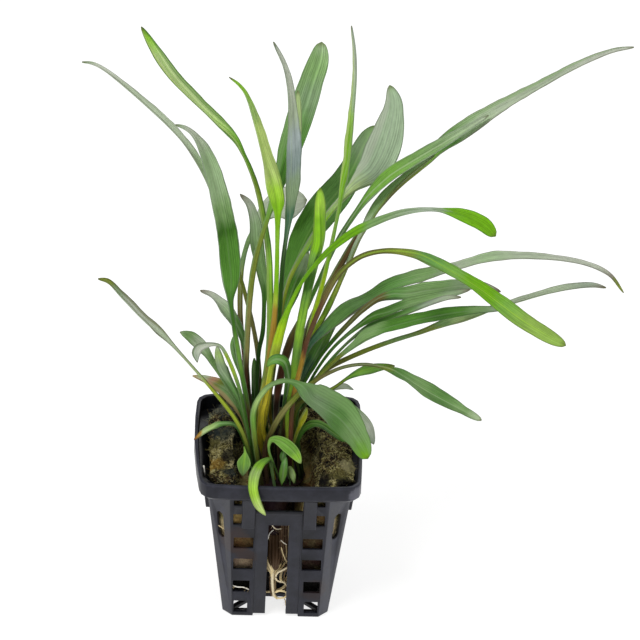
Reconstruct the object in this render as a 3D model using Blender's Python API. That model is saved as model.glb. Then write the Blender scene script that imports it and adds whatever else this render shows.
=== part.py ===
"""A potted cryptocoryne: an aquarium plant in a square net pot of black plastic.

Sizes are in millimetres in the constants and turn into metres where a mesh is made. The pot stands on
z = 0 with its axis on the z axis, its front face looks along -y, and +x is to the right of the front.
Each leaf is one solid with its stalk. Its line is given by points of the reference picture, which is
640 pixels square, and by how far behind or before the pot's axis it lies.
"""
import math

import bmesh
import bpy
import numpy as np
from mathutils import Matrix, Vector, noise

MM = 0.001

# The reference picture: how it was taken, and where it shows the pot
PIXELS_PER_MM = 2.98
FOOT_PIXEL = (274.7, 617.7)
FOOT_SEEN = 17.4
ELEVATION = math.radians(34.5)
AZIMUTH = math.radians(-1.7)
ROLL = math.radians(2.2)

# The pot
POT_HEIGHT = 59.8
RIM_HALF = 27.2
RIM_BOW = 0.6
RIM_BULGE = 1.1
RIM_CORNER = 4.6
RIM_TALL = 6.5
RIM_WALL = 1.3
BODY_TOP_HALF = 24.7
BODY_FOOT_HALF = 17.8
FACE_TOP_HALF = 16.9
FACE_FOOT_HALF = 14.6
WALL = 1.2
FLOOR = 1.5
LEDGE = 1.2
BODY_TOP = POT_HEIGHT - RIM_TALL + LEDGE
PANEL_HALF = 7.6
PANEL_DEEP = 0.45
SLOT_HALF = 3.45
SLOT_TOP = 40.8
TOP_SLOT = (-8.0, 8.0, 47.3, 51.9)
SIDE_HOLES = (
    (8.3, 15.0, 30.5, 35.3),
    (8.3, 14.8, 20.9, 25.7),
    (9.1, 14.7, 10.8, 15.8),
    (9.6, 14.2, 1.6, 6.6),
    (12.5, 15.4, 41.1, 45.8),
    (12.7, 15.4, 49.8, 52.0),
)
BAR = (8.2, 12.4, 40.6, 1.5)
CORNER_SLOT = (1.5, 33.3, 44.3)
RIB_HALF = 0.8
FLOOR_RING = 2.4
HUB = 5.6

# The plug of mossy wool and the plant's short rootstock
GAP = 0.35
WOOL_FOOT = 6.4
WOOL_TOP = 57.4
NOTCH_WIDER = 3.4
CROWN_TOP = 46.4
CROWN_MIDDLE = (-0.8, 0.6)
CROWN_HALF = (10.2, 9.8)

# Leaves
BLADE_THICK = 0.5
LEAF_GAP = 0.45
ROOT_THICK = 1.5
KNOT_EVERY = 16.0
MOST_MOVED = 14.0
LONG_LEAF = 130.0
MIDDLE_LEAF = 55.0

# Each leaf: its root on the crown (x, y in mm), how far behind the pot's axis it lies from its root to
# its tip (mm), the pixels of its midrib with the width seen there (pixels), the point where the blade
# starts, the blade's real width (mm), and how much its halves fold up (degrees). Front leaves come first.
LEAVES = {
    "leaf_over_rim": dict(
        root=(-1.5, -7.6), deep=(-7.6, -13, -22, -29.6, -31, -31), blade=1, wide=3.9, fold=10, hang=True,
        line=((271, 466, 4, -8.4), (270.4, 460, 5, -10.4), (264, 461.5, 8, -14), (257.5, 468, 10, -19.5),
              (254.3, 477, 11, -25.5), (253, 487.5, 10, -29.3), (255, 498, 9, -30.2),
              (259.5, 508, 7, -30.6), (265.6, 515.6, 1, -30.8))),
    "leaf_broad_front": dict(
        root=(-6.2, -7.4), deep=(-7.4, -9.5, -10, -12, -15, -19), blade=8, wide=13.5, fold=24,
        line=((254.5, 440, 5.5), (253.6, 425, 6), (253.6, 411, 6), (257.5, 400, 6), (265, 390, 5.5),
              (274, 383.4, 5), (283, 380.8, 5), (292, 381.8, 5.5), (299, 385.4, 8.5), (307, 391, 17),
              (319, 398.6, 26), (334, 408, 31), (346.6, 421, 32), (356, 434.6, 25), (363, 447, 14),
              (368, 459, 1))),
    "leaf_front_right": dict(
        root=(1.2, -8.6), deep=(-8.6, -9.5, -10.5, -13, -16.5), blade=2, wide=5.2, fold=16, hang=True,
        line=((269, 452, 2.5), (269.5, 443, 4), (273, 439.5, 7), (281, 442, 11), (289, 448, 13),
              (296, 455.5, 10), (301, 464, 1))),
    "leaf_tiny_drooping": dict(
        root=(4.0, -8.0), deep=(-8.0, -9, -12, -18), blade=2, wide=3.2, fold=14, hang=True,
        line=((285.4, 470, 2, -9.6), (286.4, 461, 2, -11.4), (285.6, 458.4, 3, -13.4),
              (284.6, 463, 6, -15.8), (283.4, 472, 8.5, -17), (282.2, 480, 5.5, -17.6),
              (281.5, 485.5, 1, -17.8))),
    "leaf_tiny_pale": dict(
        root=(6.8, -7.2), deep=(-7.2, -12, -18), blade=1, wide=2.6, fold=10, hang=True,
        line=((288.4, 474, 2, -7.6), (289, 468.2, 2.4, -9.6), (290.4, 468.6, 4, -12.4),
              (292.6, 476, 6.5, -15.4), (294, 484, 1, -16.4))),
    "leaf_tiny_dark": dict(
        root=(2.2, -5.8), deep=(-5.8, -8, -12), blade=1, wide=2.8, fold=10, hang=True,
        line=((284.4, 464, 2, -6.4), (285.2, 453, 2.2, -7.4), (284.6, 450.6, 3.4, -8.8),
              (283, 456, 7, -10), (281.5, 463, 1, -10.6))),
    "leaf_heart": dict(
        root=(-8.4, -5.4), deep=(-5.4, -9, -15, -19, -22), blade=2, wide=4.9, fold=12, hang=True,
        line=((247, 462, 1.8, -7.4), (244.4, 449.6, 1.8, -10.4), (244, 447.6, 1.8, -12.6),
              (245, 454, 4, -15.2), (244, 461, 13, -17.2), (243.2, 468, 12, -18.6), (242.4, 476.5, 1, -19.6))),
    "leaf_low_right": dict(
        root=(-4.4, -6.6), deep=(-6.6, -8, -9, -9, -14, -22), blade=10, wide=8.2, fold=12,
        line=((264.5, 452, 6), (269, 438, 6), (275, 425, 6), (283, 412, 6), (292, 401.5, 6),
              (302, 391, 5.5), (319, 378.5, 4), (332, 371.5, 4), (345, 366.8, 3.6), (366, 364.4, 3.6),
              (385, 368.4, 4), (397, 371.6, 6.5), (409.4, 378, 11.5), (427.4, 389.6, 15), (447.4, 399.8, 14),
              (467, 410, 11), (481.4, 420.4, 1))),
    "leaf_small_arch": dict(
        root=(1.0, -3.4), deep=(-3.4, -6, -8, -9), blade=2, wide=3.6, fold=14, hang=True,
        line=((281, 430, 3), (284.6, 400, 3.4), (287.6, 380, 5), (287.4, 369, 7), (284, 361.6, 7.5),
              (278, 359, 8), (271.5, 360.8, 7), (266.6, 367.2, 1))),
    "leaf_long_left": dict(
        root=(-9.0, -2.8), deep=(-2.8, -7, -10, -12, -15), blade=5, wide=5.6, fold=22,
        line=((243, 434, 4.5), (228, 409, 4.5), (212, 390, 4.5), (197, 371, 4.2), (182, 355, 4.2),
              (167, 338.5, 4.6), (150, 321.5, 5.2), (130, 301, 5), (115, 286.5, 3.6),
              (106, 279.6, 2.4), (99, 279, 1))),
    "leaf_low_left": dict(
        root=(-9.6, -0.4), deep=(-0.4, -3, -5, -4), blade=2, wide=3.4, fold=20,
        line=((240, 433, 3), (233, 424.4, 4), (222, 424, 5), (212, 427, 5.5), (203, 432, 5),
              (193.5, 440, 1))),
    "leaf_great_arch": dict(
        root=(3.6, -4.8), deep=(-4.8, -5, -7, -12, -18, -24, -30), blade=9, wide=8.2, fold=10,
        line=((293, 400, 5), (300, 370, 5), (309, 335, 5), (320, 309, 5), (328, 292, 5),
              (337, 277, 5.5), (352, 262, 5.5), (367, 254.3, 5.5), (384, 251.3, 5.5),
              (412, 254, 8), (430, 260.5, 10), (447, 268.5, 11), (463, 277, 12), (480, 288.5, 12.5),
              (500, 304, 15), (520, 319, 16.5), (540, 331.5, 14), (554, 340, 8.5), (564.5, 345.5, 1))),
    "leaf_bright_tip": dict(
        root=(-0.8, -2.6), deep=(-2.6, -4, -5, -6, -8, -12), blade=11, wide=7.4, fold=8,
        line=((262, 420, 8), (266, 398, 10), (271, 370, 12), (277, 346, 13), (284, 321, 11),
              (291, 303, 8), (303, 280.6, 7.5), (316.4, 263.6, 7.5), (331.6, 248.8, 7.8), (351.4, 233.6, 8.8),
              (372, 224, 7.8), (402, 213, 6), (432, 210, 3.2), (448, 212.4, 7.5),
              (462.4, 215.8, 13.5), (476, 221.4, 15), (486.6, 228, 11), (494.6, 236.9, 1))),
    "leaf_furled": dict(
        root=(5.0, -1.8), deep=(-1.8, -3, -4, -6), blade=8, wide=4.6, fold=50,
        line=((287, 430, 5), (290.5, 400, 7), (294, 375, 8.5), (296.8, 350, 8.5), (300.8, 325, 9),
              (304.6, 306, 8.5), (306.4, 296, 8.8), (309, 283, 10), (312, 270, 10.5), (316.2, 250, 12),
              (318.6, 239, 12.5), (319.6, 226, 12.5), (320, 213, 12), (320.2, 201, 9.5), (320.2, 193, 5),
              (320, 188.5, 1))),
    "leaf_dark_low_right": dict(
        root=(-0.2, -5.2), deep=(-5.2, -5, -4, 0, 4), blade=8, wide=4.6, fold=10,
        line=((279, 440, 4), (285.5, 420, 6), (292, 409.5, 6), (303, 400.5, 5.5), (318, 394, 4),
              (330, 390, 3.6), (340, 383.5, 3.6), (349, 377.4, 4), (361, 371.8, 8.5),
              (375, 368, 9), (386, 366.4, 5.5), (395, 366, 1))),
    "leaf_yellow_small": dict(
        root=(7.2, -4.6), deep=(-4.6, -5, -6), blade=3, wide=3.0, fold=16,
        line=((293.5, 447, 3), (296, 435, 4), (299.4, 427, 5), (303.2, 417.5, 7.5), (307, 407.5, 1))),
    "leaf_arch_under_broad": dict(
        root=(7.8, -2.4), deep=(-2.4, -3, -4, -5), blade=2, wide=4.6, fold=10,
        line=((297, 446, 4), (300, 435, 5), (305, 428.2, 7), (311.5, 424.4, 7), (319, 423.8, 6.5),
              (328, 429, 6), (337, 436, 4.5), (345, 442, 1))),
    "leaf_tall_thin": dict(
        root=(4.2, 0.6), deep=(0.6, 2, 6, 12, 20), blade=8, wide=6.6, fold=12,
        line=((289, 430, 4), (298, 380, 4.5), (306, 345, 4.5), (313, 317, 5), (320, 293, 5),
              (327, 265, 4.6), (332.8, 238, 4), (337, 219, 3.8), (340.4, 200, 4.2), (344, 180, 6),
              (346.2, 163, 7.2), (348.4, 142, 7.4), (350.6, 120, 6.2), (352.6, 100, 5), (354, 80, 4.8),
              (354.2, 62, 4.4), (353.4, 44, 3), (351.2, 28, 1))),
    "leaf_left_curled": dict(
        root=(-7.2, -3.6), deep=(-3.6, -6, -9, -13), blade=6, wide=4.2, fold=12, hang=True,
        line=((247, 430, 4), (243.5, 405, 4), (239, 388, 4), (232.5, 369.5, 4), (225.5, 353.5, 4),
              (219.5, 345.6, 3.4), (212, 344.4, 4), (204, 345.2, 7.5), (198, 349, 9),
              (196, 355.5, 8), (197.4, 362.5, 1))),
    "leaf_left_pale": dict(
        root=(-6.6, -1.2), deep=(-1.2, -4, -6, -8), blade=4, wide=4.2, fold=10,
        line=((246, 428, 3.4), (241, 407, 4), (236.5, 394.5, 5), (231, 384, 7), (226, 375, 9),
              (221.6, 366.5, 10), (219.4, 357.5, 8.5), (218, 351, 4), (217.4, 345.6, 1))),
    "leaf_broad_left": dict(
        root=(-5.0, -3.2), deep=(-3.2, -3, 0, 6, 14), blade=6, wide=8.6, fold=14,
        line=((250, 425, 5), (247.5, 405, 5), (243.5, 384, 5.5), (239, 358, 5.5), (235.5, 334, 5.5),
              (232.4, 314, 5.5), (230.5, 300, 6.5), (230.8, 284, 15.5), (230.4, 262, 21),
              (228.4, 240, 20.5), (223.4, 212, 19.5), (217.6, 188, 18), (212.6, 170, 16), (204.6, 150, 12),
              (198.6, 140.5, 7.5), (191.4, 132.2, 3.6), (183.5, 127.6, 2.2), (176, 125.6, 1))),
    "leaf_left_green": dict(
        root=(-9.4, 3.2), deep=(3.2, 0, -2, -3), blade=5, wide=5.2, fold=16,
        line=((247, 428, 3), (240, 408, 3.4), (230.6, 391, 4), (222, 377.6, 5), (214, 364.6, 6),
              (206.6, 352.6, 9), (199, 343.6, 12), (190.6, 336.8, 11), (180, 332, 1))),
    "leaf_decayed_tip": dict(
        root=(-9.8, 1.4), deep=(1.4, 3, 8, 12), blade=2, wide=6.2, fold=10,
        line=((246, 430, 4), (241, 412, 8), (235, 400.6, 15), (228, 391, 17), (218, 384, 13),
              (206.6, 379.2, 8), (192, 376, 1))),
    "leaf_bright_lime": dict(
        root=(-3.8, -4.0), deep=(-4.0, -4, -3, 0, 4), blade=9, wide=6.4, fold=26,
        line=((259, 446, 7.5), (262.5, 420, 8), (267, 392, 7.5), (270.4, 368, 6), (272.4, 345, 5),
              (274.4, 318, 4.5), (276, 295, 4.5), (277.4, 262, 5), (277, 235, 4.5), (277.5, 215, 6),
              (276.6, 201, 13), (272.5, 178, 12), (267.6, 156, 10.5), (261.6, 134, 8.6),
              (255, 113, 7), (247.5, 95, 5), (239, 85, 3.5), (230, 79, 1))),
    "leaf_dark_right": dict(
        root=(6.6, 0.0), deep=(0.0, -1, -2, -4, -6), blade=5, wide=7.0, fold=12,
        line=((294, 418, 3.6), (303, 400, 3.6), (315, 381, 3.8), (326, 370, 4), (339, 357, 4.4),
              (352, 346.4, 6), (371, 331.6, 11), (391, 325.4, 12), (412, 319.8, 11.5),
              (437, 315, 12.5), (458, 311.4, 10.5), (480, 309.6, 7), (505, 309, 1))),
    "leaf_dark_strip": dict(
        root=(9.0, 0.6), deep=(0.6, 1, 1, 2, 4), blade=5, wide=5.4, fold=16,
        line=((296.5, 418, 3), (306, 394, 3), (317, 377, 3), (330, 361, 3.2), (345, 345.5, 3.6),
              (360, 332.6, 4), (380, 322, 5), (400, 313.8, 5.4), (420, 306.4, 5), (440, 299.4, 4.5),
              (451, 297, 3), (461, 297.2, 1))),
    "leaf_grey_narrow": dict(
        root=(8.4, 3.0), deep=(3.0, 3, 4, 6, 8), blade=5, wide=6.4, fold=14,
        line=((297, 414, 3), (308, 386, 3), (320, 365, 3.2), (335, 346, 3.4), (350, 332.6, 4),
              (363, 323, 6), (376, 315.5, 8.5), (391, 309.5, 9.5), (405, 304, 9.5),
              (420, 300, 9.5), (436, 296.6, 9), (452, 293, 6), (470, 289.6, 1))),
    "leaf_olive_far_right": dict(
        root=(6.4, 2.6), deep=(2.6, 4, 7, 12, 18, 24), blade=8, wide=6.6, fold=14,
        line=((292, 420, 4.4), (304, 395, 4.4), (320, 375, 4.6), (337, 363.4, 5), (361, 352.6, 5),
              (391, 341.4, 4.8), (418, 333, 4.8), (436, 326, 6.5), (452, 320.6, 9), (468, 315.6, 7),
              (484, 310.6, 5), (509, 302.4, 4), (532, 295.6, 4), (552, 290, 5.5), (570, 286.4, 6.2),
              (587, 284.8, 5), (597, 285.2, 3), (607, 287.6, 1))),
    "leaf_green_right": dict(
        root=(2.6, 2.4), deep=(2.4, 3, 6, 10, 15), blade=7, wide=7.6, fold=14,
        line=((287, 425, 3), (300, 391, 3.4), (313, 368, 3.6), (325, 350, 4), (340, 332.6, 4.6),
              (355, 317, 5.4), (369, 304.8, 5.8), (381, 297.6, 7), (390, 295, 9), (399, 294, 11.5), (412, 291.4, 13.5),
              (430, 288.4, 14), (450, 285.6, 12), (470, 284.6, 10), (486, 286, 7), (501, 291.6, 1))),
    "leaf_grey_far_right": dict(
        root=(4.6, 5.0), deep=(5.0, 5, 8, 14, 21, 27, 31), blade=3, wide=8.0, fold=14,
        line=((288, 420, 4), (299, 378, 4.4), (309, 346, 6), (321, 333, 10), (333, 321, 14),
              (348, 308.6, 14.5), (362, 300.6, 12), (374, 293, 9), (388, 285.6, 12.5),
              (404, 279.4, 14), (428, 273.4, 12), (450, 267.6, 8), (470, 261.6, 8.2),
              (486, 256.8, 9.5), (505, 255.8, 8.8), (530, 255.4, 6.6), (555, 257, 5.4),
              (568, 258.8, 5), (580, 261.2, 4.6), (592, 264.8, 4), (603, 269.4, 3.4), (612, 275.4, 4),
              (619, 283, 4.6), (625, 292.6, 1))),
    "leaf_long_right_green": dict(
        root=(-0.8, 4.8), deep=(4.8, 6, 8, 12, 18, 24), blade=10, wide=6.0, fold=14,
        line=((276, 405, 5), (283, 366, 5.5), (289, 346, 5.5), (296.4, 328, 5.5), (303.4, 313, 5),
              (310.6, 299, 4.6), (319.4, 281, 4.6), (328.6, 260, 4.6), (337.4, 241, 5), (347, 226, 5.4),
              (358, 209.6, 6), (369.6, 195, 7.6), (380, 183, 12), (390, 174.4, 13.5), (402, 166.6, 13),
              (415, 159.2, 12.5), (430, 150.4, 12), (448, 139.6, 10), (468, 127.6, 6), (488, 116, 1))),
    "leaf_long_right_grey": dict(
        root=(2.4, 3.4), deep=(3.4, 5, 9, 13, 18, 23), blade=9, wide=4.6, fold=14,
        line=((292, 400, 4), (300, 370, 5), (308, 345, 5), (316, 330, 5.4), (323.4, 316.6, 6),
              (330, 303.4, 6), (336, 291, 6), (341.8, 278, 5.4), (346.6, 267, 4.6), (351, 256, 4),
              (355, 247, 4), (359, 238, 4.4), (364, 228, 6.4), (371, 215, 9), (381, 200, 9.4),
              (393, 186.6, 7.4), (406, 175.4, 5.6), (420, 165, 3.4), (434, 156, 1))),
    "leaf_long_right": dict(
        root=(0.8, 0.4), deep=(0.4, 1, 4, 10, 17, 24, 31, 38), blade=16, wide=7.4, fold=14,
        line=((283, 420, 5.5), (291.4, 390, 6.5), (298, 365, 7.6), (304, 345, 8), (308.8, 328, 7.6),
              (314.8, 312.6, 7), (321.8, 299, 6.4), (331, 283, 6.2), (340, 267.4, 6.4), (348, 252.4, 7),
              (356.6, 237.6, 6.4), (368, 221.4, 5.2), (384, 203, 5), (395.6, 189, 5.4), (409, 177, 5.4),
              (424.4, 164.6, 6.4), (434, 152, 11), (444, 143.6, 15), (460, 132.4, 18), (480, 119.6, 16),
              (500, 106.4, 12.5), (520, 94.8, 9.5), (540, 84.6, 8), (560, 74, 7), (580, 63.6, 6.2),
              (600, 55.6, 5), (618, 49.8, 3.2), (633, 48, 1))),
    "leaf_grey_upright": dict(
        root=(-1.6, 0.2), deep=(0.2, 0, 0, 2, 4), blade=7, wide=7.6, fold=20,
        line=((262, 425, 4), (268, 395, 4.4), (273, 370, 4.6), (276.8, 345, 4.6), (279.4, 318, 4.6),
              (281, 290, 4.8), (283.6, 256, 4.6), (287, 232, 4.6), (290, 212, 7.5), (293, 190, 13),
              (294, 165, 15), (294.4, 143, 14), (294, 120, 11), (292.4, 96, 8.5), (287.6, 73, 6),
              (281, 57, 3.6), (274, 44.6, 1))),
    "leaf_lime_behind": dict(
        root=(-3.8, 2.4), deep=(2.4, 2, 4, 8, 12), blade=6, wide=5.6, fold=16,
        line=((258, 428, 3.4), (266, 395, 3.4), (273.6, 360, 3.4), (278, 325, 3.4), (281, 290, 3.4),
              (284.6, 250, 3.4), (289, 218, 4.4), (292.6, 190, 6), (295.6, 160, 7), (298, 135, 7),
              (298.6, 112, 6), (298, 92, 1))),
    "leaf_green_top": dict(
        root=(-8.4, 2.0), deep=(2.0, 0, 2, 6, 16, 32, 50), blade=11, wide=8.8, fold=14,
        line=((251, 440, 6), (248.4, 420, 6.5), (246.6, 398, 6.5), (245.8, 372, 6), (246.8, 345, 6),
              (248.4, 320, 6), (250, 296, 6), (252.6, 275, 6), (256.6, 254, 6), (262, 236, 5.4),
              (266.6, 222, 5), (271.6, 206, 6.5), (277.6, 188, 10), (284, 168, 17), (290.4, 147.6, 23),
              (297.4, 126, 25), (306, 100, 25), (312, 80, 23), (318.4, 61, 15.6), (321, 51, 9),
              (321.6, 42, 1))),
    "leaf_top_left": dict(
        root=(-5.6, 1.2), deep=(1.2, 2, 2, 3, 6), blade=12, wide=6.4, fold=22,
        line=((255, 432, 3.6), (262, 398, 3.6), (267.6, 368, 3.6), (270.4, 342, 3.8),
              (271.4, 310, 4), (271, 285, 4), (270.4, 262, 4), (268.8, 244, 4.4), (265.6, 222, 4.6),
              (261.6, 203, 4.6), (256.4, 185, 4.6), (249.6, 166.6, 4.4), (240.6, 148.4, 4.6),
              (235.6, 139.6, 6.4), (228, 130.6, 8.5), (212, 114.4, 9.4), (196, 98.8, 10), (180, 83, 11),
              (168, 68.4, 11.6), (157.6, 53.6, 10.4), (150, 40.6, 6.4), (143, 29.6, 1))),
    "leaf_grey_left": dict(
        root=(-6.0, 4.0), deep=(4.0, 3, 5, 10, 18, 26), blade=5, wide=5.6, fold=16,
        line=((253.6, 420, 3.6), (257, 385, 4), (258.6, 352, 4.4), (262.4, 334, 4.6),
              (263.6, 312, 4.4), (264.2, 294, 5), (262.4, 276, 8.5), (259.4, 258, 12),
              (256.6, 240, 14), (255.4, 224, 11.5), (252.4, 211, 8), (247, 200, 4.6), (240, 194, 1))),
    "leaf_dark_centre": dict(
        root=(-3.4, 9.2), deep=(9.2, 9, 8, 8), blade=1, wide=3.0, fold=14,
        line=((254.6, 430, 4), (255, 402, 7), (255, 382, 7.5), (254.4, 368, 5), (254, 358, 1))),
    "leaf_lower_left_inner": dict(
        root=(-7.8, 4.2), deep=(4.2, 2, 3, 6), blade=3, wide=3.8, fold=12,
        line=((249.6, 420, 3), (246, 396, 3), (241.6, 377, 4), (237.4, 362.5, 7.5),
              (234.6, 350, 8.5), (233.8, 342, 6), (234.4, 335, 1))),
    "leaf_left_pointed": dict(
        root=(-6.4, 6.4), deep=(6.4, 5, 6, 9, 15), blade=5, wide=5.2, fold=14,
        line=((252, 425, 3.4), (249.6, 400, 3.4), (247.6, 375, 3.6), (245, 350, 4.6),
              (240, 331, 8.5), (232.6, 318, 11.5), (225, 308, 11), (216.6, 298, 7),
              (209, 293, 3.6), (200, 290.4, 1))),
    "leaf_far_left": dict(
        root=(-4.0, 7.6), deep=(7.6, 8, 10, 16, 26, 38, 50), blade=11, wide=6.0, fold=18,
        line=((256, 415, 4), (259.4, 385, 4.4), (258.6, 362, 4.6), (255.6, 342, 4.6),
              (251.6, 320, 4.6), (247.4, 303, 4.2), (242, 284, 4.2), (235.6, 262, 4.2),
              (227, 235, 4.4), (217.5, 206, 5), (210, 185, 5.5), (203.5, 170.5, 5.8), (198.4, 160.5, 5.8),
              (193, 151.5, 5.8), (187, 143, 6), (180, 134.5, 5.6), (170, 123.5, 5.4), (160, 113.9, 5.2),
              (150, 105, 4.2), (139, 95.6, 3.8), (120, 80.6, 3.2), (105.6, 69.6, 2.8), (94, 63.6, 2.2),
              (82, 61.8, 1))),
    "leaf_pale_far": dict(
        root=(-8.8, 6.4), deep=(6.4, 7, 10, 16, 26, 38, 46), blade=10, wide=11.6, fold=8,
        line=((249.6, 410, 4), (246.4, 385, 4.4), (244.4, 362, 4.6), (242.4, 338, 5),
              (240, 314, 5.4), (239.4, 296, 5.4), (240.8, 275, 5), (243.4, 256, 5), (248, 241, 5),
              (252.6, 230, 5), (257.6, 221.6, 5.5), (263, 214.4, 10), (270, 208, 21), (280, 204, 30),
              (290, 202.4, 32), (298, 201, 23), (303.4, 200, 11), (307, 199.6, 1))),
    "leaf_dark_inner_right": dict(
        root=(3.2, 8.2), deep=(8.2, 6, 6, 7), blade=2, wide=5.4, fold=12,
        line=((284, 425, 4), (295, 396, 5), (304, 377, 9), (311.6, 361.6, 13), (318.6, 348, 14),
              (325.6, 335.6, 12), (333, 323, 8), (342, 308.6, 1))),
    "leaf_pale_broad": dict(
        root=(0.2, 7.6), deep=(7.6, 6, 8, 14, 26, 40), blade=9, wide=12.4, fold=10,
        line=((269, 410, 4), (274, 370, 4), (279, 330, 4), (284, 298, 4), (290.6, 276, 4.4),
              (301, 257, 5.6), (312.6, 237, 6), (326, 217, 6.6), (338, 203.6, 8), (350, 190, 9),
              (359, 181.6, 15), (368, 173.6, 26), (376.6, 162, 33), (382.6, 149.6, 35), (387.4, 136, 32.5),
              (391, 122, 27), (393.4, 108, 19), (393.2, 97, 10.5), (389.5, 85.4, 1))),
    "leaf_dark_inner": dict(
        root=(1.6, 8.4), deep=(8.4, 9, 10, 12, 14), blade=1, wide=5.6, fold=10,
        line=((270, 400, 4), (276, 355, 4), (281, 325, 4.6), (285, 308, 11), (291, 292, 16),
              (298, 277, 14), (303.6, 264, 9), (308.4, 252, 1))),
    "leaf_dark_broad": dict(
        root=(-2.2, 9.0), deep=(9.0, 9, 14, 24, 38, 54), blade=3, wide=11.6, fold=12,
        line=((264, 410, 4), (270, 370, 4), (275.6, 335, 4.6), (281, 312, 7), (285.6, 290, 11),
              (290.6, 270, 15), (298, 249, 22), (310, 227, 30), (323, 209, 33), (334.6, 195, 32),
              (346, 180, 28), (356.4, 160.6, 23.5), (364.6, 143, 17), (371, 130.6, 9.5), (376, 125, 1))),
    "leaf_small_grey_right": dict(
        root=(9.0, 6.0), deep=(6.0, 8, 12, 15), blade=4, wide=2.6, fold=10,
        line=((297, 425, 2.4), (306, 405, 2.4), (318, 397, 2.4), (329, 392.6, 2.4),
              (336.6, 388, 4.4), (342.6, 386.4, 5.4), (348, 387, 4.8), (353.5, 390, 1))),
    "leaf_pale_over_edge": dict(
        root=(6.2, 8.2), deep=(8.2, 5, 3, 2, 1), blade=4, wide=5.2, fold=12,
        line=((289, 432, 4), (293, 417, 4.4), (305, 403, 4.6), (320, 397, 5), (336, 400.6, 8),
              (348, 408, 11), (359, 418, 13.5), (367.6, 429, 12.5), (372, 438, 7), (374, 445, 1))),
}

# Roots below the crown: x, y, z in mm along each, and its diameter at the crown and at its end
ROOTS = {
    "root_middle": dict(thick=(1.9, 1.1), line=(
        (-0.7, -12.4, 21.3), (-1.2, -13.4, 17), (-0.6, -13.9, 12.6), (-0.9, -13.6, 8.4),
        (-0.3, -12.9, 4.8), (0.8, -11.8, 3.0))),
    "root_loop": dict(thick=(1.6, 1.0), line=(
        (2.6, -11.4, 21.2), (3.9, -12.6, 18.0), (4.2, -13.9, 14.6), (3.0, -15.0, 11.8),
        (1.5, -15.5, 12.8), (1.5, -14.8, 15.4), (2.2, -13.0, 17.0))),
    "root_cross": dict(thick=(1.4, 0.9), line=(
        (4.2, -8.0, 21.0), (4.9, -9.4, 15.0), (4.2, -10.4, 9.6), (2.6, -9.8, 6.0), (-0.2, -9.0, 4.2),
        (-3.2, -8.6, 3.4))),
    "root_side": dict(thick=(1.7, 1.2), line=(
        (4.4, -9.0, 37.4), (3.9, -11.6, 32.0), (3.9, -13.4, 26.6), (4.9, -14.0, 22.4))),
}


def clear_scene():
    for thing in list(bpy.data.objects):
        bpy.data.objects.remove(thing, do_unlink=True)


def plastic_or_tissue(name, colour, roughness):
    material = bpy.data.materials.new(name)
    material.use_nodes = True
    shader = material.node_tree.nodes["Principled BSDF"]
    shader.inputs["Base Color"].default_value = (*colour, 1)
    shader.inputs["Roughness"].default_value = roughness
    shader.inputs["Metallic"].default_value = 0
    return material


def add_object(name, points, faces, material=None):
    """A mesh object from points in mm, with its faces turned outwards."""
    mesh = bpy.data.meshes.new(name)
    mesh.from_pydata([Vector(p) * MM for p in points], [], faces)
    form = bmesh.new()
    form.from_mesh(mesh)
    bmesh.ops.remove_doubles(form, verts=form.verts, dist=1e-6)
    bmesh.ops.recalc_face_normals(form, faces=form.faces)
    form.to_mesh(mesh)
    form.free()
    thing = bpy.data.objects.new(name, mesh)
    bpy.context.collection.objects.link(thing)
    if material:
        mesh.materials.append(material)
    return thing


def loft(rings, closed=True):
    """Points and faces of a skin over rings of equal count, capped at both ends."""
    count = len(rings[0])
    points = [p for ring in rings for p in ring]
    faces = []
    for row in range(len(rings) - 1):
        for i in range(count):
            j = (i + 1) % count
            a, b = row * count + i, row * count + j
            faces.append((a, b, b + count, a + count))
    if closed:
        faces.append(tuple(reversed(range(count))))
        faces.append(tuple(range(len(points) - count, len(points))))
    return points, faces


def join_parts(parts):
    """One list of points and one of faces from several (points, faces)."""
    points, faces = [], []
    for some_points, some_faces in parts:
        start = len(points)
        points += some_points
        faces += [tuple(start + i for i in face) for face in some_faces]
    return points, faces


def cut(thing, tool, operation="DIFFERENCE"):
    tool.hide_render = True
    tool.display_type = "WIRE"
    modifier = thing.modifiers.new(tool.name, "BOOLEAN")
    modifier.operation = operation
    modifier.solver = "EXACT"
    modifier.object = tool


def apply_modifiers(thing):
    graph = bpy.context.evaluated_depsgraph_get()
    mesh = bpy.data.meshes.new_from_object(thing.evaluated_get(graph))
    thing.modifiers.clear()
    thing.data = mesh


def body_half(z):
    return BODY_FOOT_HALF + (BODY_TOP_HALF - BODY_FOOT_HALF) * z / (POT_HEIGHT - RIM_TALL)


def face_half(z):
    return FACE_FOOT_HALF + (FACE_TOP_HALF - FACE_FOOT_HALF) * z / (POT_HEIGHT - RIM_TALL)


def body_ring(z, inset=0.0):
    """The body's eight-sided outline at a height, moved inwards by inset."""
    half = body_half(z) - inset
    flat = face_half(z) - inset * math.tan(math.radians(22.5))
    quarter = [(flat, -half), (half, -flat)]
    ring = []
    for turn in range(4):
        c, s = math.cos(turn * math.pi / 2), math.sin(turn * math.pi / 2)
        ring += [(x * c - y * s, x * s + y * c, z) for x, y in quarter]
    return ring


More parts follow.
